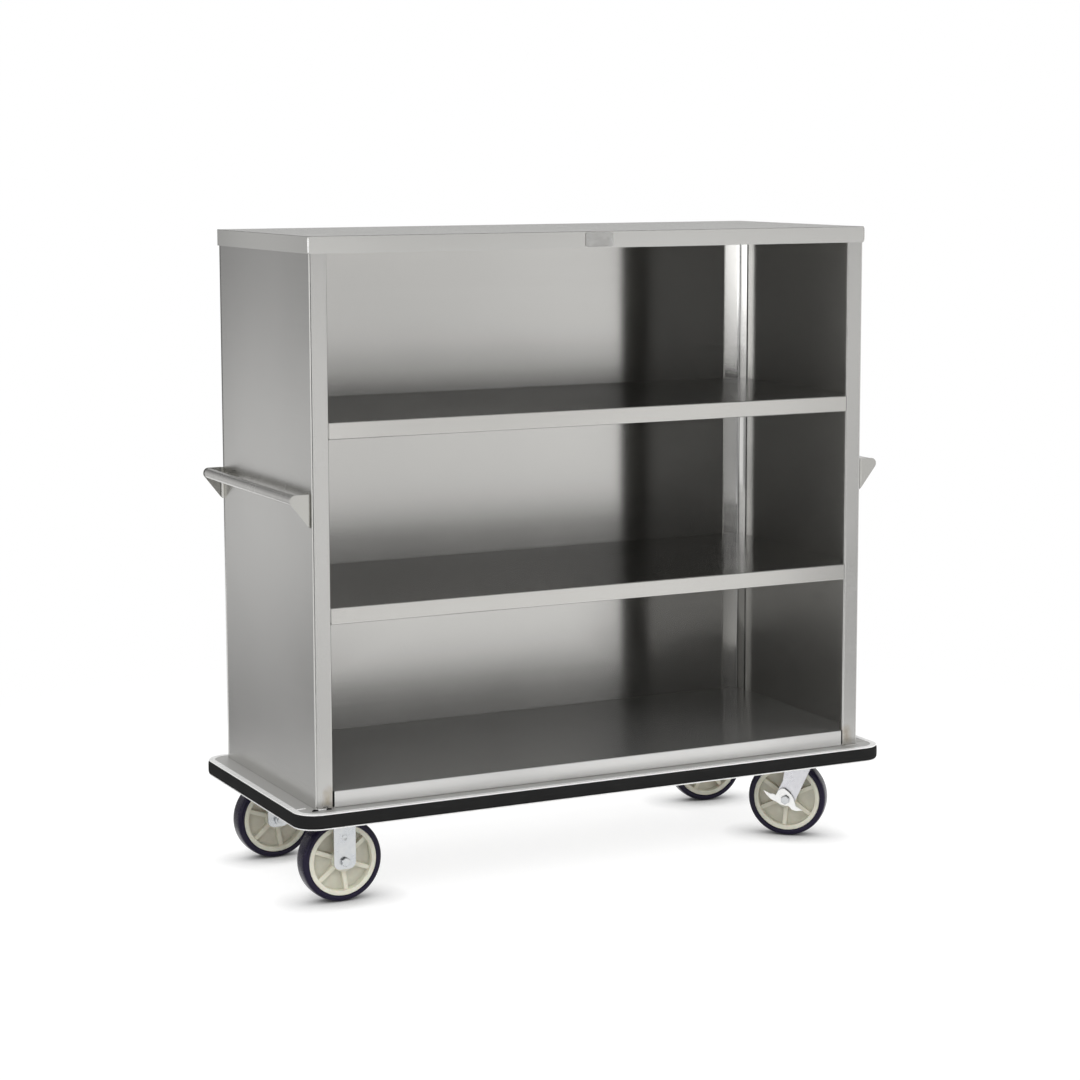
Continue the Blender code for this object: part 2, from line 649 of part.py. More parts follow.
def hub_mesh(skins):
    """A moulded hub: a ring for the tyre, a thin web, a long boss and ribs between ring and boss on both sides."""
    rim = TYRE_INNER_RADIUS * math.cos(math.pi / WHEEL_SIDES) - FIT_GAP
    ring, web, boss = HUB_RING_WIDTH / 2, HUB_WEB / 2, HUB_BOSS_LENGTH / 2
    near = [(HUB_BORE_RADIUS, -boss), (HUB_BOSS_RADIUS, -boss), (HUB_BOSS_RADIUS, -web)]
    near += [(HUB_RING_INNER_RADIUS, -web), (HUB_RING_INNER_RADIUS, -ring), (rim, -ring)]
    profile = near + [(radius, -along) for radius, along in reversed(near)]
    core = turned(profile, WHEEL_SIDES)
    ribs = []
    for number in range(HUB_RIBS):
        angle = 2 * math.pi * number / HUB_RIBS
        low, high = HUB_BOSS_RADIUS - HUB_RIB_OVERLAP, HUB_RING_INNER_RADIUS + HUB_RIB_OVERLAP
        rib = box(
            (low, -HUB_RIB_WIDTH / 2, -HUB_RIB_THICKNESS / 2),
            (high, HUB_RIB_WIDTH / 2, HUB_RIB_THICKNESS / 2),
        )
        for vert in rib.verts:
            x, z = vert.co.x, vert.co.z
            vert.co.x = x * math.cos(angle) - z * math.sin(angle)
            vert.co.z = x * math.sin(angle) + z * math.cos(angle)
        ribs.append(rib)
    return combine("hub", skins["hub"], core, added=ribs)


def bearing_mesh(skins):
    outer = HUB_BORE_RADIUS - FIT_GAP
    inner = AXLE_RADIUS + AXLE_CLEARANCE
    half = BEARING_LENGTH / 2
    profile = [(inner, -half), (outer, -half), (outer, half), (inner, half)]
    return mesh_from("bearing", turned(profile, AXLE_SIDES), skins["bearing"])


def bolt_mesh(name, outer, inner, skins):
    """An axle bolt along Y with its head at -Y, as seen from the head, and its thread at +Y."""
    head = hexagon(BOLT_HEAD_WIDTH, -outer - BOLT_HEAD_HEIGHT, -outer)
    shank = cylinder(AXLE_RADIUS, -outer - BOLT_HEAD_HEIGHT / 2, inner, AXLE_SIDES)
    return combine(name, skins["zinc"], shank, added=[head])


def nut_mesh(skins):
    """A nut along Y whose near face is at zero."""
    hole = cylinder(AXLE_RADIUS + AXLE_CLEARANCE, -OVERRUN, BOLT_HEAD_HEIGHT + OVERRUN, AXLE_SIDES)
    return combine("axle_nut", skins["zinc"], hexagon(BOLT_HEAD_WIDTH, 0.0, BOLT_HEAD_HEIGHT), removed=[hole])


def axle_hole():
    return cylinder(AXLE_RADIUS + AXLE_CLEARANCE, -LEG_OUTER - OVERRUN, LEG_OUTER + OVERRUN, AXLE_SIDES)


def wheel(corner, meshes, axle):
    """The turning pieces of one wheel, on the empty at its axle."""
    turn = math.radians(HUB_TURN_DEG[corner])
    hub = place(f"{corner}_hub", meshes["hub"], parent=axle)
    hub.rotation_euler = (0.0, -turn, 0.0)
    place(f"{corner}_tyre", meshes["tyre"], parent=axle)
    place(f"{corner}_bearing", meshes["bearing"], parent=axle)


# Rigid casters
def caster_plate_shape(low, high, centre_x=0.0):
    outline = rounded_rectangle(CASTER_PLATE_LENGTH / 2, CASTER_PLATE_WIDTH / 2, CASTER_PLATE_CORNER, CORNER_STEPS)
    return prism([(centre_x + point.x, point.y) for point in outline], "Z", low, high)


def rigid_frame_mesh(skins):
    """A plate, a crown and two straight legs, welded into one. Its origin is at the axle."""
    top = CASTER_TOP - AXLE_HEIGHT
    plate_foot = top - CASTER_PLATE_THICKNESS
    crown_foot = plate_foot - CROWN_THICKNESS
    half = RIGID_LEG_WIDTH / 2
    plate = caster_plate_shape(plate_foot, top)
    crown = box((-half, -LEG_OUTER, crown_foot), (half, LEG_OUTER, plate_foot + CASTER_PLATE_THICKNESS / 2))
    foot = [(half, -RIGID_LEG_BELOW_AXLE), (-half, -RIGID_LEG_BELOW_AXLE)]
    outline = fillet([(half, plate_foot), *foot, (-half, plate_foot)], RIGID_LEG_CORNER, CORNER_STEPS)
    outline = [(point.x, point.y) for point in outline]
    legs = [prism(outline, "Y", -LEG_OUTER, -LEG_INNER), prism(outline, "Y", LEG_INNER, LEG_OUTER)]
    return combine("rigid_caster_frame", skins["zinc"], plate, added=[crown, *legs], removed=[axle_hole()])


def rigid_caster(corner, end, meshes, cart):
    axle = axis_point(f"{corner}_axle", (-RIGID_CASTER_X, end * CASTER_Y, AXLE_HEIGHT), parent=cart)
    wheel(corner, meshes, axle)
    place(f"{corner}_caster_frame", meshes["rigid_frame"], parent=axle)
    flip = 0.0 if end < 0 else math.pi
    place(f"{corner}_axle_bolt", meshes["rigid_bolt"], turn=flip, parent=axle)
    nut_spot = (0.0, -end * (LEG_OUTER + FIT_GAP), 0.0)
    place(f"{corner}_axle_nut", meshes["nut"], nut_spot, turn=flip, parent=axle)


# Swivel casters
def race_foot():
    return CASTER_TOP - CASTER_PLATE_THICKNESS - UPPER_RACE_HEIGHT


def fork_top():
    return race_foot() - 2 * FIT_GAP - SEAL_HEIGHT - LOWER_RACE_HEIGHT


def swivel_plate_mesh(skins):
    """The top plate and its upper race, round the kingpin. Its origin is on the floor below the kingpin."""
    plate_foot = CASTER_TOP - CASTER_PLATE_THICKNESS
    plate = caster_plate_shape(plate_foot, CASTER_TOP)
    race = cylinder(RACE_RADIUS, race_foot(), plate_foot + CASTER_PLATE_THICKNESS / 2, RACE_SIDES, "Z")
    hole = cylinder(KINGPIN_RADIUS + FIT_GAP, race_foot() - OVERRUN, CASTER_TOP + OVERRUN, AXLE_SIDES, "Z")
    return combine("swivel_caster_plate", skins["zinc"], plate, added=[race], removed=[hole])


def kingpin_mesh(skins):
    crown_foot = fork_top() - CROWN_THICKNESS
    nut_top = crown_foot - FIT_GAP
    shank = cylinder(KINGPIN_RADIUS, nut_top - KINGPIN_NUT_HEIGHT / 2, CASTER_TOP - FIT_GAP, AXLE_SIDES, "Z")
    nut = cylinder(KINGPIN_NUT_RADIUS, nut_top - KINGPIN_NUT_HEIGHT, nut_top, 6, "Z")
    return combine("kingpin", skins["zinc"], shank, added=[nut])


def race_seal_mesh(skins):
    foot = fork_top() + LOWER_RACE_HEIGHT + FIT_GAP
    outline = [(SEAL_INNER_RADIUS, foot), (SEAL_OUTER_RADIUS, foot)]
    outline += [(SEAL_OUTER_RADIUS, foot + SEAL_HEIGHT), (SEAL_INNER_RADIUS, foot + SEAL_HEIGHT)]
    return mesh_from("race_seal", turned(outline, RACE_SIDES, "Z"), skins["seal"])


def fork_leg_outline(height):
    """The fork leg's outline round the axle, split at its crease into a front part and a raked back part."""
    front_edge = [Vector((along * CASTER_LEAD, up * height)) for along, up in FORK_FRONT_EDGE_SHARES]
    foot = [Vector((along * CASTER_LEAD, up * CASTER_LEAD)) for along, up in FORK_FOOT_SHARES]
    toe = [Vector((along * CASTER_LEAD, up * CASTER_LEAD)) for along, up in FORK_TOE_SHARES]
    crease_top = Vector((FORK_CREASE_TOP_SHARE * CASTER_LEAD, height))
    back_top = Vector((FORK_TOP_BACK_SHARE * CASTER_LEAD, height))
    front = front_edge[::-1] + foot + [crease_top]
    back = [foot[-1], *toe, back_top, crease_top]
    return front, back


def fork_leg(height, side):
    """One leg of the fork, folded slightly inwards behind its crease."""
    front, back = fork_leg_outline(height)
    crease_foot, crease_top = back[0], back[-1]
    along = (crease_top - crease_foot).normalized()
    ring = front[:-1] + back[1:]
    last_front = len(front) - 2
    shape = bmesh.new()
    layers = []
    for face_y in (LEG_INNER, LEG_OUTER):
        spots = []
        for index, point in enumerate(ring):
            folded_part = last_front < index < len(ring) - 1
            inwards = (point - crease_foot).cross(along) * FORK_FOLD_SLOPE if folded_part else 0.0
            spots.append(shape.verts.new((point.x, side * (face_y - inwards), point.y)))
        layers.append(spots)
        shape.faces.new(spots[:last_front + 1] + spots[-1:])
        shape.faces.new(spots[last_front:])
    inner, outer = layers
    for index in range(len(ring)):
        after = (index + 1) % len(ring)
        shape.faces.new((inner[index], inner[after], outer[after], outer[index]))
    return shape


def fork_mesh(skins):
    """The swivel fork. Its origin is on the floor below the kingpin, and its axle lies behind at -X."""
    height = fork_top() - AXLE_HEIGHT
    legs = []
    for side in (-1, 1):
        leg = fork_leg(height - CROWN_THICKNESS / 2, side)
        bmesh.ops.translate(leg, verts=leg.verts, vec=(-CASTER_LEAD, 0.0, AXLE_HEIGHT))
        legs.append(leg)
    front_x = (FORK_FRONT_EDGE_SHARES[-1][0] - 1) * CASTER_LEAD
    crease_x = (FORK_CREASE_TOP_SHARE - 1) * CASTER_LEAD
    back_x = (FORK_TOP_BACK_SHARE - 1) * CASTER_LEAD
    narrow = LEG_OUTER - (back_x - crease_x) * FORK_FOLD_SLOPE
    plan = [
        (front_x, -LEG_OUTER), (crease_x, -LEG_OUTER), (back_x, -narrow),
        (back_x, narrow), (crease_x, LEG_OUTER), (front_x, LEG_OUTER),
    ]
    crown = prism(plan, "Z", fork_top() - CROWN_THICKNESS, fork_top())
    race = cylinder(RACE_RADIUS, fork_top() - CROWN_THICKNESS, fork_top() + LOWER_RACE_HEIGHT, RACE_SIDES, "Z")
    pin_hole = cylinder(KINGPIN_RADIUS + FIT_GAP, fork_top() - 2 * CROWN_THICKNESS, CASTER_TOP, AXLE_SIDES, "Z")
    hole = axle_hole()
    bmesh.ops.translate(hole, verts=hole.verts, vec=(-CASTER_LEAD, 0.0, AXLE_HEIGHT))
    return combine("swivel_fork", skins["zinc"], crown, added=[race, *legs], removed=[pin_hole, hole])


def brake_cam_mesh(skins):
    """A round cam on the axle, outside the fork's leg at -Y."""
    near = LEG_OUTER + FIT_GAP
    bore = AXLE_RADIUS + AXLE_CLEARANCE
    profile = [(bore, -near), (BRAKE_CAM_RADIUS, -near)]
    profile += [(BRAKE_CAM_RADIUS, -near - BRAKE_CAM_THICKNESS), (bore, -near - BRAKE_CAM_THICKNESS)]
    return mesh_from("brake_cam", turned(profile, AXLE_SIDES * 2), skins["zinc"])


def brake_lever_near():
    return LEG_OUTER + FIT_GAP + BRAKE_CAM_THICKNESS + FIT_GAP


def brake_lever_mesh(skins):
    """The pedal outside the cam: a broad middle round the axle, a raised wing at -X and a lowered one at +X."""
    near = brake_lever_near()
    far = near + BRAKE_LEVER_THICKNESS
    outline = [(along * BRAKE_LEVER_REACH, up * BRAKE_LEVER_REACH) for along, up in BRAKE_LEVER_SHARES]
    hole = cylinder(AXLE_RADIUS + AXLE_CLEARANCE, -far - OVERRUN, -near + OVERRUN, AXLE_SIDES)
    return combine("brake_lever", skins["zinc"], prism(outline, "Y", -far, -near), removed=[hole])


def mirrored(mesh, name):
    """A copy of a mesh mirrored across its local XZ plane."""
    twin = mesh.copy()
    twin.name = name
    for vert in twin.vertices:
        vert.co.y = -vert.co.y
    twin.flip_normals()
    return twin


def swivel_caster(corner, end, turn_deg, meshes, cart):
    """One swivel caster with its brake on the outer side, turned about its kingpin as it stands in use."""
    kingpin = axis_point(f"{corner}_swivel", (SWIVEL_CASTER_X, end * CASTER_Y, 0.0), parent=cart)
    place(f"{corner}_caster_plate", meshes["swivel_plate"], parent=kingpin)
    place(f"{corner}_kingpin", meshes["kingpin"], parent=kingpin)
    turning = axis_point(f"{corner}_turning", (0.0, 0.0, 0.0), math.radians(turn_deg), parent=kingpin)
    place(f"{corner}_fork", meshes["fork"], parent=turning)
    place(f"{corner}_race_seal", meshes["race_seal"], parent=turning)
    axle = axis_point(f"{corner}_axle", (-CASTER_LEAD, 0.0, AXLE_HEIGHT), parent=turning)
    wheel(corner, meshes, axle)
    flip = 0.0 if end < 0 else math.pi
    place(f"{corner}_axle_bolt", meshes["swivel_bolt"], turn=flip, parent=axle)
    nut_spot = (0.0, -end * (LEG_OUTER + FIT_GAP), 0.0)
    place(f"{corner}_axle_nut", meshes["nut"], nut_spot, turn=flip, parent=axle)
    hand = "front" if end < 0 else "rear"
    place(f"{corner}_brake_cam", meshes[f"{hand}_brake_cam"], parent=axle)
    place(f"{corner}_brake_lever", meshes[f"{hand}_brake_lever"], parent=axle)


def caster_meshes(skins):
    past_nut = LEG_OUTER + FIT_GAP + BOLT_HEAD_HEIGHT + AXLE_END_LENGTH
    swivel_head = brake_lever_near() + BRAKE_LEVER_THICKNESS + FIT_GAP
    meshes = {
        "tyre": tyre_mesh(skins),
        "hub": hub_mesh(skins),
        "bearing": bearing_mesh(skins),
        "nut": nut_mesh(skins),
        "rigid_frame": rigid_frame_mesh(skins),
        "rigid_bolt": bolt_mesh("rigid_axle_bolt", LEG_OUTER + FIT_GAP, past_nut, skins),
        "swivel_plate": swivel_plate_mesh(skins),
        "kingpin": kingpin_mesh(skins),
        "race_seal": race_seal_mesh(skins),
        "fork": fork_mesh(skins),
        "swivel_bolt": bolt_mesh("swivel_axle_bolt", swivel_head, past_nut, skins),
        "front_brake_cam": brake_cam_mesh(skins),
        "front_brake_lever": brake_lever_mesh(skins),
    }
    meshes["rear_brake_cam"] = mirrored(meshes["front_brake_cam"], "rear_brake_cam")
    meshes["rear_brake_lever"] = mirrored(meshes["front_brake_lever"], "rear_brake_lever")
    return meshes


def build():
    clear_scene()
    skins = make_materials()
    base = axis_point("deck_centre", (0.0, 0.0, 0.0))
    cart = axis_point("cabinet_centre", (0.0, CABINET_SHIFT, 0.0))
    top_cap(skins, cart)
    side_panel("left_side_panel", -1, skins, cart)
    side_panel("right_side_panel", 1, skins, cart)
    back_panel(skins, cart)
    corner_post("rear_left_post", -1, skins, cart)
    corner_post("rear_right_post", 1, skins, cart)
    shelf("upper_shelf", UPPER_SHELF_HEIGHT, SHELF_FACE, skins, cart)
    shelf("middle_shelf", MIDDLE_SHELF_HEIGHT, SHELF_FACE, skins, cart)
    shelf("bottom_shelf", BOTTOM_SHELF_HEIGHT, BOTTOM_SHELF_HEIGHT - PANEL_FOOT, skins, cart)
    stiffener("upper_shelf_stiffener", UPPER_SHELF_HEIGHT, skins, cart)
    stiffener("middle_shelf_stiffener", MIDDLE_SHELF_HEIGHT, skins, cart)
    base_deck(skins, base)
    caster_channel("left_caster_channel", -RIGID_CASTER_X, skins, base)
    caster_channel("right_caster_channel", SWIVEL_CASTER_X, skins, base)
    frame_rail("front_frame_rail", -1, skins, cart)
    frame_rail("rear_frame_rail", 1, skins, cart)
    bumper(skins, base)
    for side, side_name in ((-1, "left"), (1, "right")):
        handle_tube(f"{side_name}_handle_tube", side, skins, cart)
        for end, end_name in ((-1, "front"), (1, "rear")):
            handle_bracket(f"{end_name}_{side_name}_handle_bracket", side, end, skins, cart)
    name_plate(skins, cart)
    meshes = caster_meshes(skins)
    rigid_caster("front_left", -1, meshes, cart)
    rigid_caster("rear_left", 1, meshes, cart)
    swivel_caster("front_right", -1, FRONT_SWIVEL_TURN_DEG, meshes, cart)
    swivel_caster("rear_right", 1, REAR_SWIVEL_TURN_DEG, meshes, cart)
    bpy.context.view_layer.update()


build()
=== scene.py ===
import json
import math

import bmesh
import bpy
from mathutils import Matrix, Vector


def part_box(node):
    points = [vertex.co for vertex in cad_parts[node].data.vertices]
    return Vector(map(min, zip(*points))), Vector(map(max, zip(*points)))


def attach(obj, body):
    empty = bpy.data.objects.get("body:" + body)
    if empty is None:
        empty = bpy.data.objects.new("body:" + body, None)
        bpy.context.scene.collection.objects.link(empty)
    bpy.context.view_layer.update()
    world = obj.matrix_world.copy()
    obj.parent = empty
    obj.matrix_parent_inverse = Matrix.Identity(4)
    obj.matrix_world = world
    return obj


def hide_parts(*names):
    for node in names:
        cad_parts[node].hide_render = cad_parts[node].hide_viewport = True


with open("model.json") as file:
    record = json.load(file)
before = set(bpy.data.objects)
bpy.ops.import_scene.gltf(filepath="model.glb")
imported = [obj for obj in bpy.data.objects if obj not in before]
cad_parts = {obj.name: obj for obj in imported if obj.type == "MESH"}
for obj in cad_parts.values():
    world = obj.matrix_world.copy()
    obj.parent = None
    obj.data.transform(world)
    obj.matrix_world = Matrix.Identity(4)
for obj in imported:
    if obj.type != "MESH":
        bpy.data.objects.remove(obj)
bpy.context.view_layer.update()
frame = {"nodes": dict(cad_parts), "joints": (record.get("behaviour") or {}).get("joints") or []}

# Camera, fitted to the photograph
CAMERA_PLACE = (-2.9349, -5.8401, 1.7770)
CAMERA_YAW_DEG = 26.55
CAMERA_PITCH_DEG = 7.23
CAMERA_ROLL_DEG = -0.13
CAMERA_LENS = 86.84
CAMERA_SHIFT = -0.0556

# Round pieces, and the gap between fitted ones
ROUND_STEPS = 96
FIT_GAP = 0.0003

# Wheels, as in the CAD apart from the thicker ribs; a rib's wall is (distance past its side, height)
TYRE_RADIUS = 0.1012
TYRE_INNER_RADIUS = 0.0860
HUB_RIM_RADIUS = 0.0856
HUB_RING_INNER_RADIUS = 0.0740
HUB_RING_HALF = 0.0244
HUB_WEB_HALF = 0.0070
HUB_RIBS = 6
HUB_RIB_HALF = 0.0180
HUB_RIB_THICKNESS = 0.0115
RIB_WALL = ((-0.0006, HUB_RIB_HALF - 0.0003), (0.0002, HUB_WEB_HALF + 0.0009), (0.0012, HUB_WEB_HALF))
HUB_BOSS_RADIUS = 0.0260
HUB_BOSS_HALF = 0.0290
HUB_BORE_RADIUS = 0.0125
BEARING_HALF = 0.0326
HUB_TURN_DEG = {"front_left": 38.5, "rear_left": 41.0, "front_right": 25.0, "rear_right": 5.0}
SWIVEL_TURN_DEG = {"front_left": 0.0, "rear_left": 0.0, "front_right": -40.9, "rear_right": -8.7}
CORNERS = tuple(HUB_TURN_DEG)
SIDES = ((-1, "left"), (1, "right"))

# Bolts; a reach is measured from the wheel's middle plane
BOLT_WIDTH = 0.0205
BOLT_HEAD_HEIGHT = 0.008
BOLT_CHAMFER = 0.0008
BOLT_END_REACH = 0.0501
RIGID_HEAD_REACH = 0.0378
SWIVEL_HEAD_REACH = 0.0459
AXLE_RADIUS = 0.00635
WASHER_RADIUS = 0.0098
WASHER_RISE = 0.0006
HEAD_CHAMFER = 0.0014
HEAD_TOP_SHARE = 0.93

# Caster fixings
PLATE_THICKNESS = 0.0065
PLATE_BOLT_X = 0.044
PLATE_BOLT_Y = 0.038
PLATE_BOLT_RADIUS = 0.0042
PLATE_BOLT_WIDTH = 0.0130
PLATE_BOLT_HEIGHT = 0.0055
LEG_FACE_INSET = 0.0135
DIMPLE_HEIGHT = 0.160
DIMPLE_LEVELS = ((-0.0010, 0.0074), (0.0002, 0.0074), (0.0011, 0.0066), (0.0011, 0.0056), (0.0003, 0.0036))

# Sheet metal and handles
BEND_HOLD = 0.0007
PANEL_SHEET = 0.0015
PANEL_BEND = 0.0045
PANEL_HEM = 0.012
PANEL_REAR_RETURN = 0.020
EDGE_STRIP_WIDTH = 0.017
EDGE_STRIP_LEAN = 0.0019
ANGLE_SHEET = 0.002
ANGLE_BEND = 0.005
ANGLE_SEAT = 0.0004
ANGLE_OPENING_DEG = 7.0
BRACKET_SHEET = 0.003
BRACKET_BEND = 0.0075
BRACKET_TOE = 0.004
BRACKET_FOOT = 0.024
BRACKET_NOSE = 0.0137
BRACKET_NOSE_STEPS = 14
BRACKET_FLAT_STEPS = 6
BRACKET_FLAT_END = 0.010
BRACKET_SOFT = 0.0005
HANDLE_WALL = 0.0015
HANDLE_SOFT = 0.0005

# Bumper; the crown is (depth, height) from the strip's face and edge
STRIP_DEPTH = 0.0142
STRIP_CROWN = ((0.0030, 0.0), (0.0008, 0.0022), (0.0001, 0.0060))
TRACK_SHEET = 0.0028
TRACK_SETBACK = 0.0020
TRACK_SOFT = 0.0007
BUMPER_CORNER = 0.058

# Weld beads (radius, ripples), and dark pieces of painted shade in the openings at the front, set off from
# the sheets that they lie on
CAP_BEAD = (0.0021, 7)
DECK_BEAD = (0.0019, 5)
FOOT_BEAD = (0.0016, 9)
CAP_WELD_SINK = 0.0008
CAP_WELD_FOOT = 0.002
CAP_WELD_TOP = 0.003
DECK_WELD_ENDS = ((0.0393, 0.0215), (0.0148, 0.0240))
DECK_WELD_LIFT = 0.0002
FOOT_WELD_INSET = 0.0081
FOOT_WELD_PROUD = 0.0028
FOOT_WELD_LIFT = 0.0004
FOOT_OVERHANG = 0.0053
INNER_NOTCH_INSET = 0.0156
NOTCH_FRONT = 0.0100
NOTCH_BACK = 0.0020
NOTCH_HEIGHT = 0.0028
SHELF_GAP_SHADE_LIFT = 0.003

# Name plate
PLATE_CORNER = 0.006
PIN_INSET = 0.0055
PIN_LEVELS = ((0.0, 0.0016, False), (-0.0002, 0.0016, False), (-0.0004, 0.0011, False))

# Brushed sheet: noise cells along and across the grain, and where its marks lie
GRAIN_CELLS = (1.2, 1300.0)
SCRATCH_CELLS = (5.0, 700.0)
# The painted shade on the lower sheet fades out between these heights.
LOW_SHADE_FADE = (0.60, 0.72)
HEAT_SPOTS = ((0.031, 0.014), (0.032, 0.026), (0.034, 0.036))
HEAT_RADIUS = 0.022
HEAT_TINT = (0.36, 0.28, 0.16)

# Slots, and the slot, finish and edge of the CAD nodes that stay, by the ending of their name
PANEL = "brushed_stainless_panel"
BRIGHT = "bright_stainless"
ZINC = "zinc_plated_steel"
NODE_SLOTS = {
    ("caster_frame", "caster_plate", "axle_nut", "kingpin", "fork", "brake_cam", "brake_lever"): ZINC,
    "race_seal": "seal_rubber", "shelf": BRIGHT,
}
NODE_FINISHES = {
    "top_cap": "cap", "back_panel": "back", "base_deck": "deck", "bottom_shelf": "low_shelf",
    "brake_lever": "brake_zinc", "fork": "fork_zinc",
}
SOFT_EDGES = {
    ("brake_lever", "caster_frame", "fork", "caster_plate"): 0.0008,
    "axle_nut": 0.0006, "shelf": 0.0010, "top_cap": 0.0016,
}


# Node trees
def tinted(colour, share):
    return tuple(min(1.0, share * part) for part in colour)


class Nodes:
    """A node tree and short ways to add nodes to it."""

    def __init__(self, tree):
        self.tree = tree

    def feed(self, socket, item):
        if isinstance(item, bpy.types.NodeSocket):
            self.tree.links.new(item, socket)
        else:
            socket.default_value = item

    def node(self, kind, *items, **settings):
        """A new node with its settings made and its first sockets fed."""
        made = self.tree.nodes.new(kind)
        for key, value in settings.items():
            setattr(made, key, value)
        for socket, item in zip(made.inputs, items):
            self.feed(socket, item)
        return made

    def first(self, kind, *items, **settings):
        """The first output of a new node."""
        return self.node(kind, *items, **settings).outputs[0]

    def math(self, operation, *items):
        return self.first("ShaderNodeMath", *items, operation=operation)

    def add(self, first, second):
        return self.math("ADD", first, second)

    def times(self, first, second):
        return self.math("MULTIPLY", first, second)

    def place(self):
        return self.node("ShaderNodeTexCoord").outputs["Object"]

    def split(self, vector):
        return self.node("ShaderNodeSeparateXYZ", vector).outputs

    def join(self, x, y, z):
        return self.first("ShaderNodeCombineXYZ", x, y, z)

    def facing(self):
        return self.split(self.node("ShaderNodeNewGeometry").outputs["Normal"])

    def noise(self, vector, scale, detail=2.0, roughness=0.5):
        made = self.node("ShaderNodeTexNoise", vector)
        for socket, value in (("Scale", scale), ("Detail", detail), ("Roughness", roughness)):
            made.inputs[socket].default_value = value
        return made.outputs["Fac"]

    def remap(self, item, low, high, out_low=0.0, out_high=1.0):
        return self.first("ShaderNodeMapRange", item, low, high, out_low, out_high)

    def spread(self, noise, low=0.0, high=1.0):
        """Draws a noise's usual range out to two values."""
        return self.remap(noise, 0.3, 0.7, low, high)

    def mix(self, factor, first, second):
        made = self.node("ShaderNodeMix", data_type="RGBA")
        self.feed(made.inputs["Factor"], factor)
        self.feed(made.inputs[6], (*first, 1.0) if isinstance(first, tuple) else first)
        self.feed(made.inputs[7], (*second, 1.0) if isinstance(second, tuple) else second)
        return made.outputs[2]

    def near(self, point, spots, radius):
        """One at any of the spots, fading to zero at the radius."""
        total = 0.0
        for spot in spots:
            away = self.node("ShaderNodeVectorMath", point, spot, operation="DISTANCE")
            total = self.math("MAXIMUM", self.remap(away.outputs["Value"], 0.0, radius, 1.0, 0.0), total)
        return total

    def bump(self, height, distance, strength=1.0, below=None):
        made = self.node("ShaderNodeBump", strength, distance)
        self.feed(made.inputs["Height"], height)
        if below is not None:
            self.feed(made.inputs["Normal"], below)
        return made.outputs[0]

    def seen(self):
        """One for what the camera sees itself, in a mirror or through glass."""
        path = self.node("ShaderNodeLightPath").outputs
        indirect = self.math("MAXIMUM", path["Is Glossy Ray"], path["Is Transmission Ray"])
        return self.math("MAXIMUM", path["Is Camera Ray"], indirect)


class Skin(Nodes):
    """One material and its shader."""

    def __init__(self, name):
        self.material = bpy.data.materials.new(name)
        self.material.use_nodes = True
        super().__init__(self.material.node_tree)
        self.shader = self.tree.nodes["Principled BSDF"]

    def finish(self, colour, roughness, normal=None, metallic=0.0):
        self.feed(self.shader.inputs["Base Color"], colour)
        self.feed(self.shader.inputs["Roughness"], roughness)
        self.shader.inputs["Metallic"].default_value = metallic
        if normal is not None:
            self.feed(self.shader.inputs["Normal"], normal)
        return self.material


# Materials
def brushed(skin, point, along, across, detail=2.0, roughness=0.5):
    """Grain along the length on level faces and along the horizontal on upright ones."""
    level = skin.math("GREATER_THAN", skin.math("ABSOLUTE", skin.facing()["Z"]), 0.7)
    x, y, z = skin.split(point)
    cells_y = skin.math("MULTIPLY_ADD", level, across - along, along)
    cells_z = skin.math("MULTIPLY_ADD", level, along - across, across)
    stretched = skin.join(skin.times(x, along), skin.times(y, cells_y), skin.times(z, cells_z))
    return skin.noise(stretched, 1.0, detail, roughness)


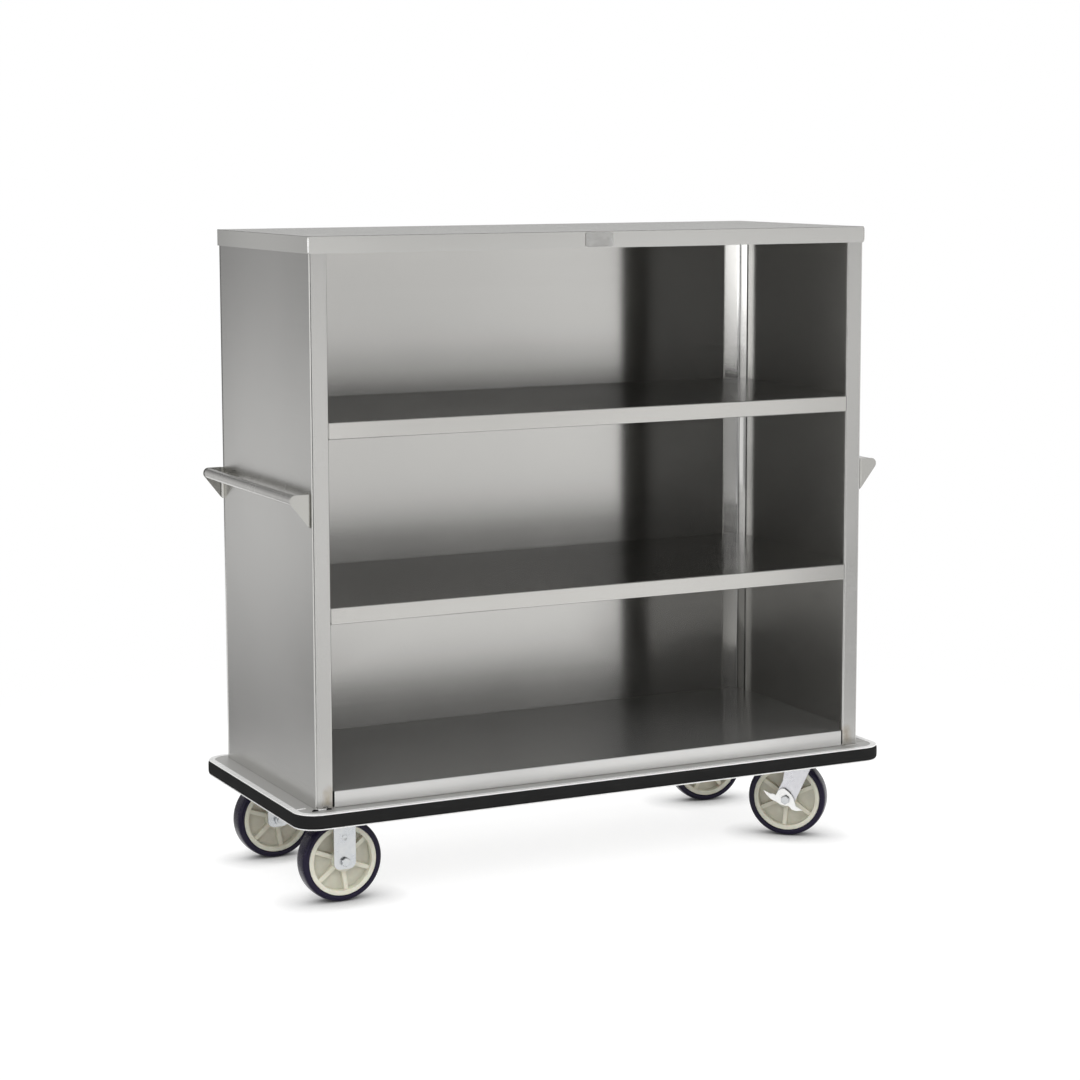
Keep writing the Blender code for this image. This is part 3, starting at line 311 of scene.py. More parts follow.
def stainless(
    name, colour, roughness, anisotropy=0.85, warp=0.0016, level_shade_share=1.0, end_sheen_share=1.0, low_shade_share=1.0,
    metallic=1.0, heat_spots=(), fold_shade_line=0.0
):
    """Sheet with a brushed grain, cloudy polish, faint scratches and a little oil canning.

    Level faces get painted shade and keep only a share of the sheet's brightness, and faces at the
    cart's ends may get a painted sheen that makes them brighter. The low shade share paints shade on
    the sheet below the middle shelf. A sheet that is worn or dusty is less than fully metallic. The
    fold shade line paints shade along the upper folded edges."""
    skin = Skin(name)
    point = skin.place()
    grain = brushed(skin, point, *GRAIN_CELLS)
    cloud = skin.noise(point, 4.0, 3.0)
    broad = skin.noise(point, 1.3, 1.0)
    scratch = skin.remap(brushed(skin, point, *SCRATCH_CELLS, 1.0), 0.74, 0.82)
    tone = skin.add(skin.spread(grain, -0.014, 0.014), skin.spread(cloud, 0.985, 1.015))
    pale = tinted(colour, 1.35)
    shade = skin.mix(skin.remap(tone, 0.8, 1.2), tinted(colour, 0.65), pale)
    shade = skin.mix(skin.times(scratch, 0.10), shade, pale)
    # Painted shade: level faces keep only a share of the sheet's brightness.
    if level_shade_share < 1.0:
        level = skin.remap(skin.facing()["Z"], 0.6, 0.9)
        shade = skin.mix(level, shade, tinted(colour, level_shade_share))
    # Painted shade: the sheet is darker below the middle shelf.
    if low_shade_share < 1.0:
        dust_and_low_shade = skin.remap(skin.split(point)["Z"], *LOW_SHADE_FADE, 1.0, 0.0)
        shade = skin.mix(dust_and_low_shade, shade, tinted(colour, low_shade_share))
    # Painted sheen: faces at the cart's ends are brighter.
    if end_sheen_share != 1.0:
        end = skin.remap(skin.math("ABSOLUTE", skin.facing()["X"]), 0.6, 0.9)
        shade = skin.mix(end, shade, tinted(colour, end_sheen_share))
    # Painted shade: a dark line along the upper folded edges.
    if fold_shade_line:
        up = skin.facing()["Z"]
        turned = skin.times(skin.remap(up, 0.12, 0.40), skin.remap(up, 0.80, 0.97, 1.0, 0.0))
        shade = skin.mix(skin.times(turned, fold_shade_line), shade, (0.05, 0.05, 0.05))
    rough = skin.spread(grain, roughness - 0.015, roughness + 0.015)
    rough = skin.add(rough, skin.spread(cloud, -0.008, 0.010))
    if heat_spots:
        ragged = skin.spread(skin.noise(point, 60.0, 3.0), 0.4, 1.0)
        heat = skin.times(skin.near(point, heat_spots, HEAT_RADIUS), ragged)
        shade = skin.mix(skin.times(heat, 0.70), shade, HEAT_TINT)
    normal = skin.bump(grain, 0.000012, 0.12, skin.bump(broad, warp))
    skin.shader.inputs["Anisotropic"].default_value = anisotropy
    skin.feed(skin.shader.inputs["Tangent"], skin.join(0.0, 0.05, 1.0))
    return skin.finish(shade, rough, normal, metallic)


def polished_tube():
    """Bar stock polished round its girth."""
    skin = Skin("polished_tube")
    colour = (0.62, 0.612, 0.59)
    x, y, z = skin.split(skin.place())
    rings = skin.noise(skin.join(skin.times(x, 4.0), skin.times(y, 700.0), z), 1.0, 2.0)
    cloud = skin.noise(skin.place(), 9.0, 2.0)
    shade = skin.mix(skin.remap(cloud, 0.35, 0.65), tinted(colour, 0.92), colour)
    rough = skin.add(skin.spread(rings, 0.16, 0.26), skin.spread(cloud, 0.0, 0.06))
    return skin.finish(shade, rough, skin.bump(rings, 0.00003, 0.4), 1.0)


def track_metal():
    """Drawn metal, rubbed duller in patches."""
    skin = Skin("drawn_track_metal")
    point = skin.place()
    drawn = brushed(skin, point, 2.0, 1200.0)
    rub = skin.remap(skin.noise(point, 30.0, 4.0), 0.5, 0.75)
    shade = skin.mix(skin.times(rub, 0.35), (0.95, 0.95, 0.94), (0.74, 0.74, 0.72))
    return skin.finish(shade, skin.spread(drawn, 0.24, 0.38), skin.bump(drawn, 0.00003, 0.5), 0.30)


def zinc(name, dull, pale):
    """Bright plated steel with a soft cloudy lustre and small pits, with painted shade in its corners."""
    skin = Skin(name)
    point = skin.place()
    cloud = skin.noise(point, 38.0, 4.0, 0.6)
    pits = skin.remap(skin.noise(point, 420.0, 2.0), 0.66, 0.76)
    shade = skin.mix(skin.remap(cloud, 0.35, 0.65), dull, pale)
    shade = skin.mix(skin.times(pits, 0.08), shade, (0.45, 0.44, 0.44))
    # Painted shade: the corners are darkened by ambient occlusion.
    corner = skin.node("ShaderNodeAmbientOcclusion", samples=16)
    corner.inputs["Distance"].default_value = 0.003
    shade = skin.mix(skin.remap(corner.outputs["AO"], 0.25, 0.80, 0.85, 0.0), shade, (0.16, 0.16, 0.18))
    rough = skin.add(skin.spread(cloud, 0.24, 0.36), skin.times(pits, 0.1))
    return skin.finish(shade, rough, skin.bump(cloud, 0.0003, 0.3), 1.0)


def bumper_rubber():
    """Dull black rubber, scuffed along its length and a little dusty."""
    skin = Skin("bumper_rubber")
    point = skin.place()
    speck = skin.noise(point, 900.0, 2.0)
    scuff = skin.remap(brushed(skin, point, 12.0, 160.0, 4.0, 0.65), 0.58, 0.78)
    dust_and_low_shade = skin.remap(skin.noise(point, 14.0, 3.0), 0.4, 0.8)
    shade = skin.mix(skin.times(dust_and_low_shade, 0.4), (0.018, 0.018, 0.018), (0.027, 0.027, 0.026))
    shade = skin.mix(skin.times(scuff, 0.4), shade, (0.045, 0.044, 0.042))
    rough = skin.add(skin.spread(speck, 0.55, 0.66), skin.times(scuff, 0.15))
    skin.shader.inputs["Specular IOR Level"].default_value = 0.02
    return skin.finish(shade, rough, skin.bump(speck, 0.00012, 0.5))


def tyre_rubber():
    """Hard tyre, glossy with a violet cast, its tread dulled and scuffed by the floor."""
    skin = Skin("hard_tyre_rubber")
    point = skin.place()
    x, y, z = skin.split(point)
    radius = skin.math("SQRT", skin.add(skin.times(x, x), skin.times(z, z)))
    tread = skin.remap(radius, 0.0975, 0.1008)
    speck = skin.noise(point, 700.0, 2.0)
    scuff = skin.remap(skin.noise(point, 75.0, 4.0, 0.7), 0.48, 0.66)
    worn = skin.times(tread, scuff)
    shade = skin.mix(skin.times(worn, 0.35), (0.010, 0.007, 0.024), (0.040, 0.034, 0.036))
    rough = skin.add(skin.spread(speck, 0.20, 0.28), skin.times(worn, 0.12))
    skin.shader.inputs["Specular IOR Level"].default_value = 0.19
    return skin.finish(shade, rough, skin.bump(speck, 0.00010, 0.4))


def hub_plastic():
    """Moulded cream plastic with blotchy grime, darker where it is deep than on its raised faces."""
    skin = Skin("cream_hub_plastic")
    point = skin.place()
    deep = skin.remap(skin.math("ABSOLUTE", skin.split(point)["Y"]), 0.0072, HUB_RIB_HALF, 1.0, 0.0)
    grime = skin.spread(skin.noise(point, 55.0, 4.0, 0.6))
    speck = skin.noise(point, 600.0, 2.0)
    raised_tone = skin.mix(grime, (0.74, 0.72, 0.61), (0.68, 0.65, 0.54))
    dark = skin.mix(grime, (0.61, 0.60, 0.50), (0.55, 0.54, 0.45))
    skin.shader.inputs["Subsurface Weight"].default_value = 0.08
    shade = skin.mix(deep, raised_tone, dark)
    return skin.finish(shade, skin.spread(speck, 0.38, 0.50), skin.bump(speck, 0.0001, 0.4))


def plain_metal(name, colour, low, high, scale, metallic=1.0):
    """Unbrushed metal with a faint cloud; low and high bound its roughness."""
    skin = Skin(name)
    cloud = skin.noise(skin.place(), scale, 3.0)
    shade = skin.mix(cloud, tinted(colour, 0.75), colour)
    return skin.finish(shade, skin.spread(cloud, low, high), metallic=metallic)


def plate_skin():
    """Bare satin name plate with a fine grain."""
    skin = Skin("blank_plate_satin")
    point = skin.place()
    grain = brushed(skin, point, 30.0, 2500.0)
    cloud = skin.noise(point, 60.0, 3.0)
    shade = skin.mix(skin.remap(cloud, 0.35, 0.65), (0.52, 0.515, 0.50), (0.60, 0.595, 0.58))
    shade = skin.mix(skin.remap(grain, 0.35, 0.65, 0.0, 0.25), shade, (0.42, 0.415, 0.40))
    return skin.finish(shade, skin.spread(grain, 0.26, 0.38), skin.bump(grain, 0.00002, 0.3), 1.0)


def seal_rubber():
    skin = Skin("seal_rubber_black")
    speck = skin.noise(skin.place(), 500.0, 2.0)
    shade = skin.mix(speck, (0.03, 0.03, 0.03), (0.06, 0.06, 0.06))
    return skin.finish(shade, skin.spread(speck, 0.5, 0.7))


def foot_spots():
    """Where the side panels' front feet are tinted by the heat of their welds."""
    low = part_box("left_side_panel")[0]
    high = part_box("right_side_panel")[1]
    spots = []
    for inwards, up in HEAT_SPOTS:
        spots += [(low.x + inwards, low.y, low.z + up), (high.x - inwards, low.y, low.z + up)]
    return spots


def make_skins():
    return {
        PANEL: stainless("brushed_panel", (0.60, 0.594, 0.576), 0.23, heat_spots=foot_spots()),
        # The level shade shares of these two sheets paint shade on their level faces.
        BRIGHT: stainless("bright_sheet", (0.62, 0.61, 0.585), 0.21, warp=0.0008, level_shade_share=0.36),
        "low_shelf": stainless(
            "bottom_shelf_sheet", (0.685, 0.682, 0.668), 0.24, warp=0.0008, level_shade_share=0.38, metallic=0.68),
        "deck": stainless(
            "worn_deck_sheet", (0.50, 0.495, 0.48), 0.34, anisotropy=0.2, warp=0.0006, metallic=0.5),
        "back": stainless("back_sheet", (0.60, 0.592, 0.572), 0.17, anisotropy=0.95, warp=0.0010),
        # The cap's end sheen share paints a sheen on its end faces, and its fold shade line paints shade
        # along its upper folds.
        "cap": stainless(
            "cap_sheet", (0.68, 0.673, 0.65), 0.22, warp=0.0006, end_sheen_share=1.28, fold_shade_line=0.8),
        # The post's low shade share paints shade on it below the middle shelf.
        "post": stainless(
            "polished_angle", (0.86, 0.85, 0.82), 0.08, anisotropy=0.3, warp=0.0002, low_shade_share=0.42),
        "bracket": stainless("bracket_plate", (0.56, 0.553, 0.525), 0.22, anisotropy=0.4, warp=0.0001),
        # Painted highlight: the weld skin is near white, and only the left welds wear it.
        "weld": plain_metal("weld_painted_highlight", (0.98, 0.98, 0.97), 0.22, 0.34, 300.0, 0.25),
        # Painted shade: the joint skin is near black, for the strips and wedges put in the gaps.
        "joint": plain_metal("painted_gap_shade", (0.012, 0.012, 0.012), 0.7, 0.9, 90.0),
        "satin_metal_track": track_metal(),
        ZINC: zinc("zinc_plate", (0.57, 0.59, 0.61), (0.67, 0.68, 0.68)),
        "brake_zinc": zinc("bright_zinc_plate", (0.82, 0.82, 0.81), (0.92, 0.92, 0.90)),
        "fork_zinc": zinc("fork_zinc_plate", (0.62, 0.62, 0.65), (0.74, 0.74, 0.76)),
        "black_rubber": bumper_rubber(),
        "dark_tyre": tyre_rubber(),
        "cream_grey_plastic": hub_plastic(),
        "bearing_steel": plain_metal("bearing_steel_grey", (0.50, 0.50, 0.51), 0.25, 0.40, 90.0),
        "blank_plate_metal": plate_skin(),
        "seal_rubber": seal_rubber(),
        "tube": polished_tube(),
    }


# Meshes
def in_scene(name, data):
    made = bpy.data.objects.new(name, data)
    bpy.context.scene.collection.objects.link(made)
    return made


def add_object(name, shape, skin, matrix=None, smooth_deg=35.0):
    bmesh.ops.recalc_face_normals(shape, faces=shape.faces)
    mesh = bpy.data.meshes.new(name)
    shape.to_mesh(mesh)
    shape.free()
    mesh.materials.append(skin)
    mesh.shade_smooth()
    mesh.set_sharp_from_angle(angle=math.radians(smooth_deg))
    made = in_scene(name, mesh)
    if matrix is not None:
        made.matrix_world = matrix
    return made


def stand_for(item, node, body):
    """Makes a finer piece take a CAD node's place."""
    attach(item, body)
    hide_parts(node)


def add_fitting(name, shape, skin, matrix=None, smooth_deg=35.0):
    """Adds a small piece to the cart itself that no CAD node stands for."""
    item = add_object(name, shape, skin, matrix, smooth_deg)
    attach(item, "cart")


def soften(item, width):
    """Rounds the sharp edges of a piece."""
    step = item.modifiers.new("soft_edges", "BEVEL")
    step.width = width
    step.segments = 2
    step.limit_method = "ANGLE"
    step.angle_limit = math.radians(35.0)
    step.harden_normals = True


def join_rings(shape, low, high):
    for index in range(len(low)):
        after = (index + 1) % len(low)
        shape.faces.new((low[index], low[after], high[after], high[index]))


def joined(rows, endless=False):
    """A closed shape over rows of points: the last row meets the first, or both ends get a face."""
    shape = bmesh.new()
    rings = [[shape.verts.new(point) for point in row] for row in rows]
    for low, high in zip(rings, rings[1:]):
        join_rings(shape, low, high)
    if endless:
        join_rings(shape, rings[-1], rings[0])
    else:
        shape.faces.new(rings[0])
        shape.faces.new(rings[-1][::-1])
    return shape


def circle_steps(steps):
    return [2 * math.pi * step / steps for step in range(steps)]


def lathe(profile, steps=ROUND_STEPS):
    """A closed ring of (radius, along Y) points turned about Y."""
    turns = circle_steps(steps)
    rows = [[(r * math.cos(turn), y, r * math.sin(turn)) for r, y in profile] for turn in turns]
    return joined(rows, endless=True)


def smoothed(points, rounds=2):
    """Cuts the corners of an open path, keeping its ends."""
    for _ in range(rounds):
        fresh = [points[0]]
        for (ax, ay), (bx, by) in zip(points, points[1:]):
            fresh.append((0.75 * ax + 0.25 * bx, 0.75 * ay + 0.25 * by))
            fresh.append((0.25 * ax + 0.75 * bx, 0.25 * ay + 0.75 * by))
        fresh.append(points[-1])
        points = fresh
    return points


def wheel_matrix(corner):
    """Where the wheel stands at rest: at its spin joint, turned with its swivel."""
    spin = next(joint for joint in frame["joints"] if joint["name"] == f"{corner}_wheel_spin")
    turn = Matrix.Rotation(math.radians(SWIVEL_TURN_DEG[corner]), 4, "Z")
    return Matrix.Translation(spin["pos_m"]) @ turn


def reach_of(low, high):
    """The box's least and greatest distance from the middle of the cart, along its length."""
    return sorted((abs(low.x), abs(high.x)))


# Wheels
def tyre_shape():
    """A solid tyre with a crowned tread, drawn as one half of (radius, half width) points."""
    outer = [
        (TYRE_INNER_RADIUS, 0.0244), (0.0885, 0.0252), (0.0935, 0.0254), (0.0972, 0.0240),
        (0.0997, 0.0205), (0.1008, 0.0150), (TYRE_RADIUS, 0.0060), (TYRE_RADIUS, 0.0),
    ]
    half = smoothed(outer)
    return lathe(half + [(radius, -along) for radius, along in reversed(half[:-1])], ROUND_STEPS * 2)


def hub_columns(radius, between=10):
    """(Angle, height of the ribs or the web) round the hub: close at the ribs' walls, even between them."""
    wall = [(HUB_RIB_THICKNESS / 2 + past, height) for past, height in RIB_WALL]
    rib_profile = [(-offset, height) for offset, height in reversed(wall)] + [(0.0, HUB_RIB_HALF)] + wall
    edge = math.asin(wall[-1][0] / radius)
    gap = 2 * math.pi / HUB_RIBS - 2 * edge
    web_turns = [edge + gap * step / (between + 1) for step in range(1, between + 1)]
    columns = []
    for centre in circle_steps(HUB_RIBS):
        columns += [(centre + math.asin(offset / radius), height) for offset, height in rib_profile]
        columns += [(centre + turn, HUB_WEB_HALF) for turn in web_turns]
    return columns


def hub_shape():
    """A moulded hub with drafted walls: boss, six ribs, thin web and ring.

    A row with no height of its own follows the ribs and the web."""
    bore, boss, inner, rim = HUB_BORE_RADIUS, HUB_BOSS_RADIUS, HUB_RING_INNER_RADIUS, HUB_RIM_RADIUS
    boss_face, ring_face = HUB_BOSS_HALF, HUB_RING_HALF
    rows = [
        (bore, boss_face - 0.0006), (bore + 0.0006, boss_face), (boss - 0.0012, boss_face),
        (boss - 0.0003, boss_face - 0.0004), (boss, boss_face - 0.0014), (boss + 0.0006, None),
        (0.034, None), (0.050, None), (0.064, None), (inner - 0.0006, None),
        (inner, ring_face - 0.0014), (inner + 0.0004, ring_face - 0.0004), (inner + 0.0014, ring_face),
        (rim - 0.0012, ring_face), (rim - 0.0002, ring_face - 0.0008),
    ]
    shape = bmesh.new()
    sides = []
    for sign in (-1, 1):
        grid = []
        for radius, height in rows:
            grid.append([
                shape.verts.new((radius * math.cos(turn), sign * (height or span), radius * math.sin(turn)))
                for turn, span in hub_columns(radius)
            ])
        sides.append(grid)
    for grid in sides:
        for low, high in zip(grid, grid[1:]):
            join_rings(shape, low, high)
    join_rings(shape, sides[0][0], sides[1][0])
    join_rings(shape, sides[0][-1], sides[1][-1])
    return shape


def bearing_shape():
    outer, inner, half = HUB_BORE_RADIUS - FIT_GAP, AXLE_RADIUS + FIT_GAP, BEARING_HALF
    step = 0.0008
    return lathe([
        (inner, -half + step), (inner + step, -half), (outer - step, -half), (outer, -half + step),
        (outer, half - step), (outer - step, half), (inner + step, half), (inner, half - step),
    ])


def make_wheels(skins):
    parts = (
        ("tyre", tyre_shape, "dark_tyre"), ("hub", hub_shape, "cream_grey_plastic"),
        ("bearing", bearing_shape, "bearing_steel"),
    )
    for corner in CORNERS:
        spin = Matrix.Rotation(math.radians(-HUB_TURN_DEG[corner]), 4, "Y")
        for part, make_shape, slot in parts:
            shape = make_shape()
            bmesh.ops.transform(shape, matrix=spin, verts=shape.verts)
            item = add_object(f"{corner}_fine_{part}", shape, skins[slot], wheel_matrix(corner))
            stand_for(item, f"{corner}_{part}", f"{corner}_wheel")


# Bolts
def hex_head_levels(foot, height, width, sign):
    """A chamfered hexagon that stands on a washer face; sign is the way it points along Y."""
    flat = width / 2
    return [
        (foot, WASHER_RADIUS, False),
        (foot + sign * WASHER_RISE, WASHER_RADIUS, False),
        (foot + sign * WASHER_RISE, flat, True),
        (foot + sign * (height - HEAD_CHAMFER), flat, True),
        (foot + sign * height, flat * HEAD_TOP_SHARE, False),
    ]


def turned_solid(levels, steps=48):
    """A closed solid about Y from (place along Y, reach, hexagonal or not) levels."""
    rows = []
    for along, reach, is_hex in levels:
        row = []
        for turn in circle_steps(steps):
            fold = (turn + math.pi / 6) % (math.pi / 3) - math.pi / 6
            radius = reach / math.cos(fold) if is_hex else reach
            row.append((radius * math.cos(turn), along, radius * math.sin(turn)))
        rows.append(row)
    return joined(rows)


def make_axle_bolts(skins):
    for corner in CORNERS:
        side = -1 if corner.startswith("front") else 1
        body = "cart" if corner.endswith("left") else f"{corner}_swivel"
        head = side * (RIGID_HEAD_REACH if body == "cart" else SWIVEL_HEAD_REACH)
        levels = [
            (-side * BOLT_END_REACH, AXLE_RADIUS - BOLT_CHAMFER, False),
            (-side * (BOLT_END_REACH - BOLT_CHAMFER), AXLE_RADIUS, False),
            (head, AXLE_RADIUS, False),
        ]
        levels += hex_head_levels(head, BOLT_HEAD_HEIGHT, BOLT_WIDTH, side)
        bolt = add_object(f"{corner}_fine_bolt", turned_solid(levels), skins[ZINC], wheel_matrix(corner))
        stand_for(bolt, f"{corner}_axle_bolt", body)


# Handles
def make_handles(skins):
    for _, side in SIDES:
        node = f"{side}_handle_tube"
        low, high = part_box(node)
        half, radius = (high.y - low.y) / 2, (high.z - low.z) / 2
        bore, round_end = radius - HANDLE_WALL, half - HANDLE_SOFT
        profile = [
            (bore, -half), (radius - HANDLE_SOFT, -half), (radius, -round_end), (radius, round_end),
            (radius - HANDLE_SOFT, half), (bore, half),
        ]
        spot = Matrix.Translation((low + high) / 2)
        tube = add_object(f"{side}_fine_handle", lathe(profile), skins["tube"], spot)
        stand_for(tube, node, "cart")


# Folded sheet metal
def turned_left(way):
    return Vector((-way.y, way.x))


def folded_sheet(points, sheet, radius, steps=6, hold=BEND_HOLD):
    """The plan of a bent sheet whose outer face follows the points, with its metal to their left.

    Extra points at the hold distance keep the flats flat; without them the flats look rolled."""
    spots = [Vector(point) for point in points]
    ways = [(after - before).normalized() for before, after in zip(spots, spots[1:])]
    outer, inner = [spots[0]], [spots[0] + turned_left(ways[0]) * sheet]
    for spot, before, after in zip(spots[1:], ways, ways[1:]):
        turn = math.atan2(before.cross(after), before.dot(after))
        way = math.copysign(1.0, turn)
        centre = spot - before * radius * math.tan(abs(turn) / 2) + turned_left(before) * radius * way
        arm = -turned_left(before) * way
        if hold:
            outer.append(centre + arm * radius - before * hold)
            inner.append(centre + arm * (radius - way * sheet) - before * hold)
        for step in range(steps + 1):
            arm = -turned_left(before) * way
            arm.rotate(Matrix.Rotation(turn * step / steps, 2))
            outer.append(centre + arm * radius)
            inner.append(centre + arm * (radius - way * sheet))
        if hold:
            outer.append(outer[-1] + after * hold)
            inner.append(inner[-1] + after * hold)
    outer.append(spots[-1])
    inner.append(spots[-1] + turned_left(ways[-1]) * sheet)
    return outer + inner[::-1]


def upright_prism(outline, low, high, side):
    """A plan outline drawn up between two heights; side mirrors it across the middle of the cart."""
    shape = bmesh.new()
    foot = [shape.verts.new((side * x, y, low)) for x, y in outline]
    head = [shape.verts.new((side * x, y, high)) for x, y in outline]
    join_rings(shape, foot, head)
    half = len(outline) // 2
    for ring in (foot, head):
        for index in range(half - 1):
            shape.faces.new((ring[index], ring[index + 1], ring[-2 - index], ring[-1 - index]))
    return shape


def make_side_panels(skins):
    """Each end sheet: hem and return in front, and a last strip that leans in towards the back."""
    for side, side_name in SIDES:
        name = f"{side_name}_side_panel"
        low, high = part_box(name)
        near, far = reach_of(low, high)
        plan = [
            (near, low.y + PANEL_HEM), (near, low.y), (far, low.y), (far, high.y - EDGE_STRIP_WIDTH),
            (far - EDGE_STRIP_LEAN, high.y), (far - EDGE_STRIP_LEAN - PANEL_REAR_RETURN, high.y),
        ]
        shape = upright_prism(folded_sheet(plan, PANEL_SHEET, PANEL_BEND), low.z, high.z, side)
        panel = add_object(f"{name}_fine", shape, skins[PANEL])
        stand_for(panel, name, "cart")


def make_corner_angles(skins):
    """Rear corner angles, sprung a little open, with a round inner bend."""
    for side, side_name in SIDES:
        name = f"rear_{side_name}_post"
        low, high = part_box(name)
        near, far = reach_of(low, high)
        heel = far - ANGLE_SHEET
        back = high.y - ANGLE_SHEET - ANGLE_SEAT
        opening = (heel - near) * math.tan(math.radians(ANGLE_OPENING_DEG))
        plan = [(near, back), (heel, back - opening), (heel, low.y)]
        outline = folded_sheet(plan, ANGLE_SHEET, ANGLE_BEND, hold=0.0)
        angle = add_object(f"{name}_fine", upright_prism(outline, low.z, high.z, side), skins["post"])
        stand_for(angle, name, "cart")


def bracket_heights(x, face, nose_x, centre_z, toe):
    """The bracket outline's lowest and highest point at a distance from the middle of the cart."""
    radius = BRACKET_NOSE
    start = Vector((face + BRACKET_TOE, toe))
    down = start - Vector((nose_x, centre_z))
    tangent = math.atan2(down.y, down.x) + math.acos(radius / down.length)
    touch = Vector((nose_x + radius * math.cos(tangent), centre_z + radius * math.sin(tangent)))
    rise = math.sqrt(max(0.0, radius ** 2 - (x - nose_x) ** 2))
    if x <= start.x:
        low = toe
    elif x <= touch.x:
        low = start.y + (touch.y - start.y) * (x - start.x) / (touch.x - start.x)
    else:
        low = centre_z - rise
    return low, centre_z + (rise if x > nose_x else radius)


def bracket_shape(end, side, face, plate_y, toe, nose_x, centre_z):
    """A bent plate: a grid of columns round the nose, along the flat and round the bend to the foot.

    It is drawn for the front end and flipped across the cart's depth for the rear one."""
    tip = nose_x + BRACKET_NOSE
    front_y = -abs(plate_y)
    plan = [(tip, front_y), (face, front_y), (face, front_y + BRACKET_FOOT)]
    outline = folded_sheet(plan, BRACKET_SHEET, BRACKET_BEND, 8)
    count = len(outline) // 2
    outer, inner = outline[:count], outline[count:][::-1]
    turns = [math.radians(6 + 84 * step / BRACKET_NOSE_STEPS) for step in range(BRACKET_NOSE_STEPS)]
    flat = nose_x - face - BRACKET_FLAT_END
    reach = [nose_x + BRACKET_NOSE * math.cos(turn) for turn in turns]
    reach += [nose_x - flat * step / BRACKET_FLAT_STEPS for step in range(BRACKET_FLAT_STEPS + 1)]
    columns = [(x, outer[0].y, x, inner[0].y) for x in reach]
    columns += [(*a, *b) for a, b in zip(outer[1:], inner[1:])]
    rows = []
    for ax, ay, bx, by in columns:
        foot, head = bracket_heights(ax, face, nose_x, centre_z, toe)
        corners = ((ax, ay, foot), (ax, ay, head), (bx, by, head), (bx, by, foot))
        rows.append([(side * x, -end * y, z) for x, y, z in corners])
    return joined(rows)


def make_brackets(skins):
    """Bent plates with a round nose for the tube, a generous bend and a foot on the side panel."""
    for end, end_name in ((-1, "front"), (1, "rear")):
        for side, side_name in SIDES:
            node = f"{end_name}_{side_name}_handle_bracket"
            low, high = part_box(node)
            tube_low, tube_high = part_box(f"{side_name}_handle_tube")
            nose = (tube_low + tube_high) / 2
            face = reach_of(low, high)[0]
            plate_y = low.y if end < 0 else high.y
            shape = bracket_shape(end, side, face, plate_y, low.z, abs(nose.x), nose.z)
            bracket = add_object(f"{node}_fine", shape, skins["bracket"])
            stand_for(bracket, node, "cart")
            soften(bracket, BRACKET_SOFT)


# Bumper
def rounded_loop(half_x, half_y, radius, steps):
    corners = ((1, 1), (-1, 1), (-1, -1), (1, -1))
    spots = []
    for quarter, (way_x, way_y) in enumerate(corners):
        centre_x, centre_y = way_x * (half_x - radius), way_y * (half_y - radius)
        for step in range(steps + 1):
            angle = math.pi / 2 * (quarter + step / steps)
            spots.append((centre_x + radius * math.cos(angle), centre_y + radius * math.sin(angle)))
    return spots


def sweep_round(section, half_x, half_y, radius, steps=24):
    """A section of (outwards, height) points swept round a rounded rectangle."""
    rows = []
    for outwards, height in section:
        spots = rounded_loop(half_x + outwards, half_y + outwards, radius + outwards, steps)
        rows.append([(x, y, height) for x, y in spots])
    return joined(rows, endless=True)


def strip_section():
    low, high = (corner.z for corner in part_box("bumper_strip"))
    section = [(-STRIP_DEPTH, low)] + [(-depth, low + up) for depth, up in STRIP_CROWN]
    section += [(0.0, (low + high) / 2)]
    section += [(-depth, high - up) for depth, up in reversed(STRIP_CROWN)] + [(-STRIP_DEPTH, high)]
    return section


def track_section():
    foot, top = (corner.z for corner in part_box("bumper_track"))
    web_out = -STRIP_DEPTH - FIT_GAP
    web_in = web_out - TRACK_SHEET
    lip, soft = -TRACK_SETBACK, TRACK_SOFT
    foot_inside, top_inside = foot + TRACK_SHEET, top - TRACK_SHEET
    return [
        (web_in, foot), (lip - soft, foot), (lip, foot + soft), (lip, foot_inside - soft),
        (lip - soft, foot_inside), (web_out, foot_inside), (web_out, top_inside),
        (lip - soft, top_inside), (lip, top_inside + soft), (lip, top - soft), (lip - soft, top),
        (web_in, top),
    ]


def make_bumper(skins):
    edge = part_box("bumper_strip")[1]
    for node, section, slot in (
        ("bumper_strip", strip_section(), "black_rubber"),
        ("bumper_track", track_section(), "satin_metal_track"),
    ):
        shape = sweep_round(section, edge.x, edge.y, BUMPER_CORNER)
        stand_for(add_object(f"fine_{node}", shape, skins[slot]), node, "cart")


# Small fittings
def bead(name, start, end, skin, radius, ripples, around=14):
    """A rippled weld bead with tapered ends."""
    start, end = Vector(start), Vector(end)
    way = (end - start).normalized()
    side = way.orthogonal().normalized()
    other = way.cross(side)
    rows = []
    steps = ripples * 6
    for step in range(steps + 1):
        share = step / steps
        taper = math.sqrt(max(0.0, 1.0 - abs(2 * share - 1) ** 6))
        swell = radius * (0.15 + 0.85 * taper) * (1.0 + 0.16 * math.sin(2 * math.pi * ripples * share))
        spot = start + (end - start) * share
        rows.append([spot + (side * math.cos(t) + other * math.sin(t)) * swell for t in circle_steps(around)])
    add_fitting(name, joined(rows), skin, smooth_deg=60.0)


def front_return():
    """How far out the side panels' front returns begin and end, and the depth of their face."""
    low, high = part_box("right_side_panel")
    return low.x, high.x, low.y


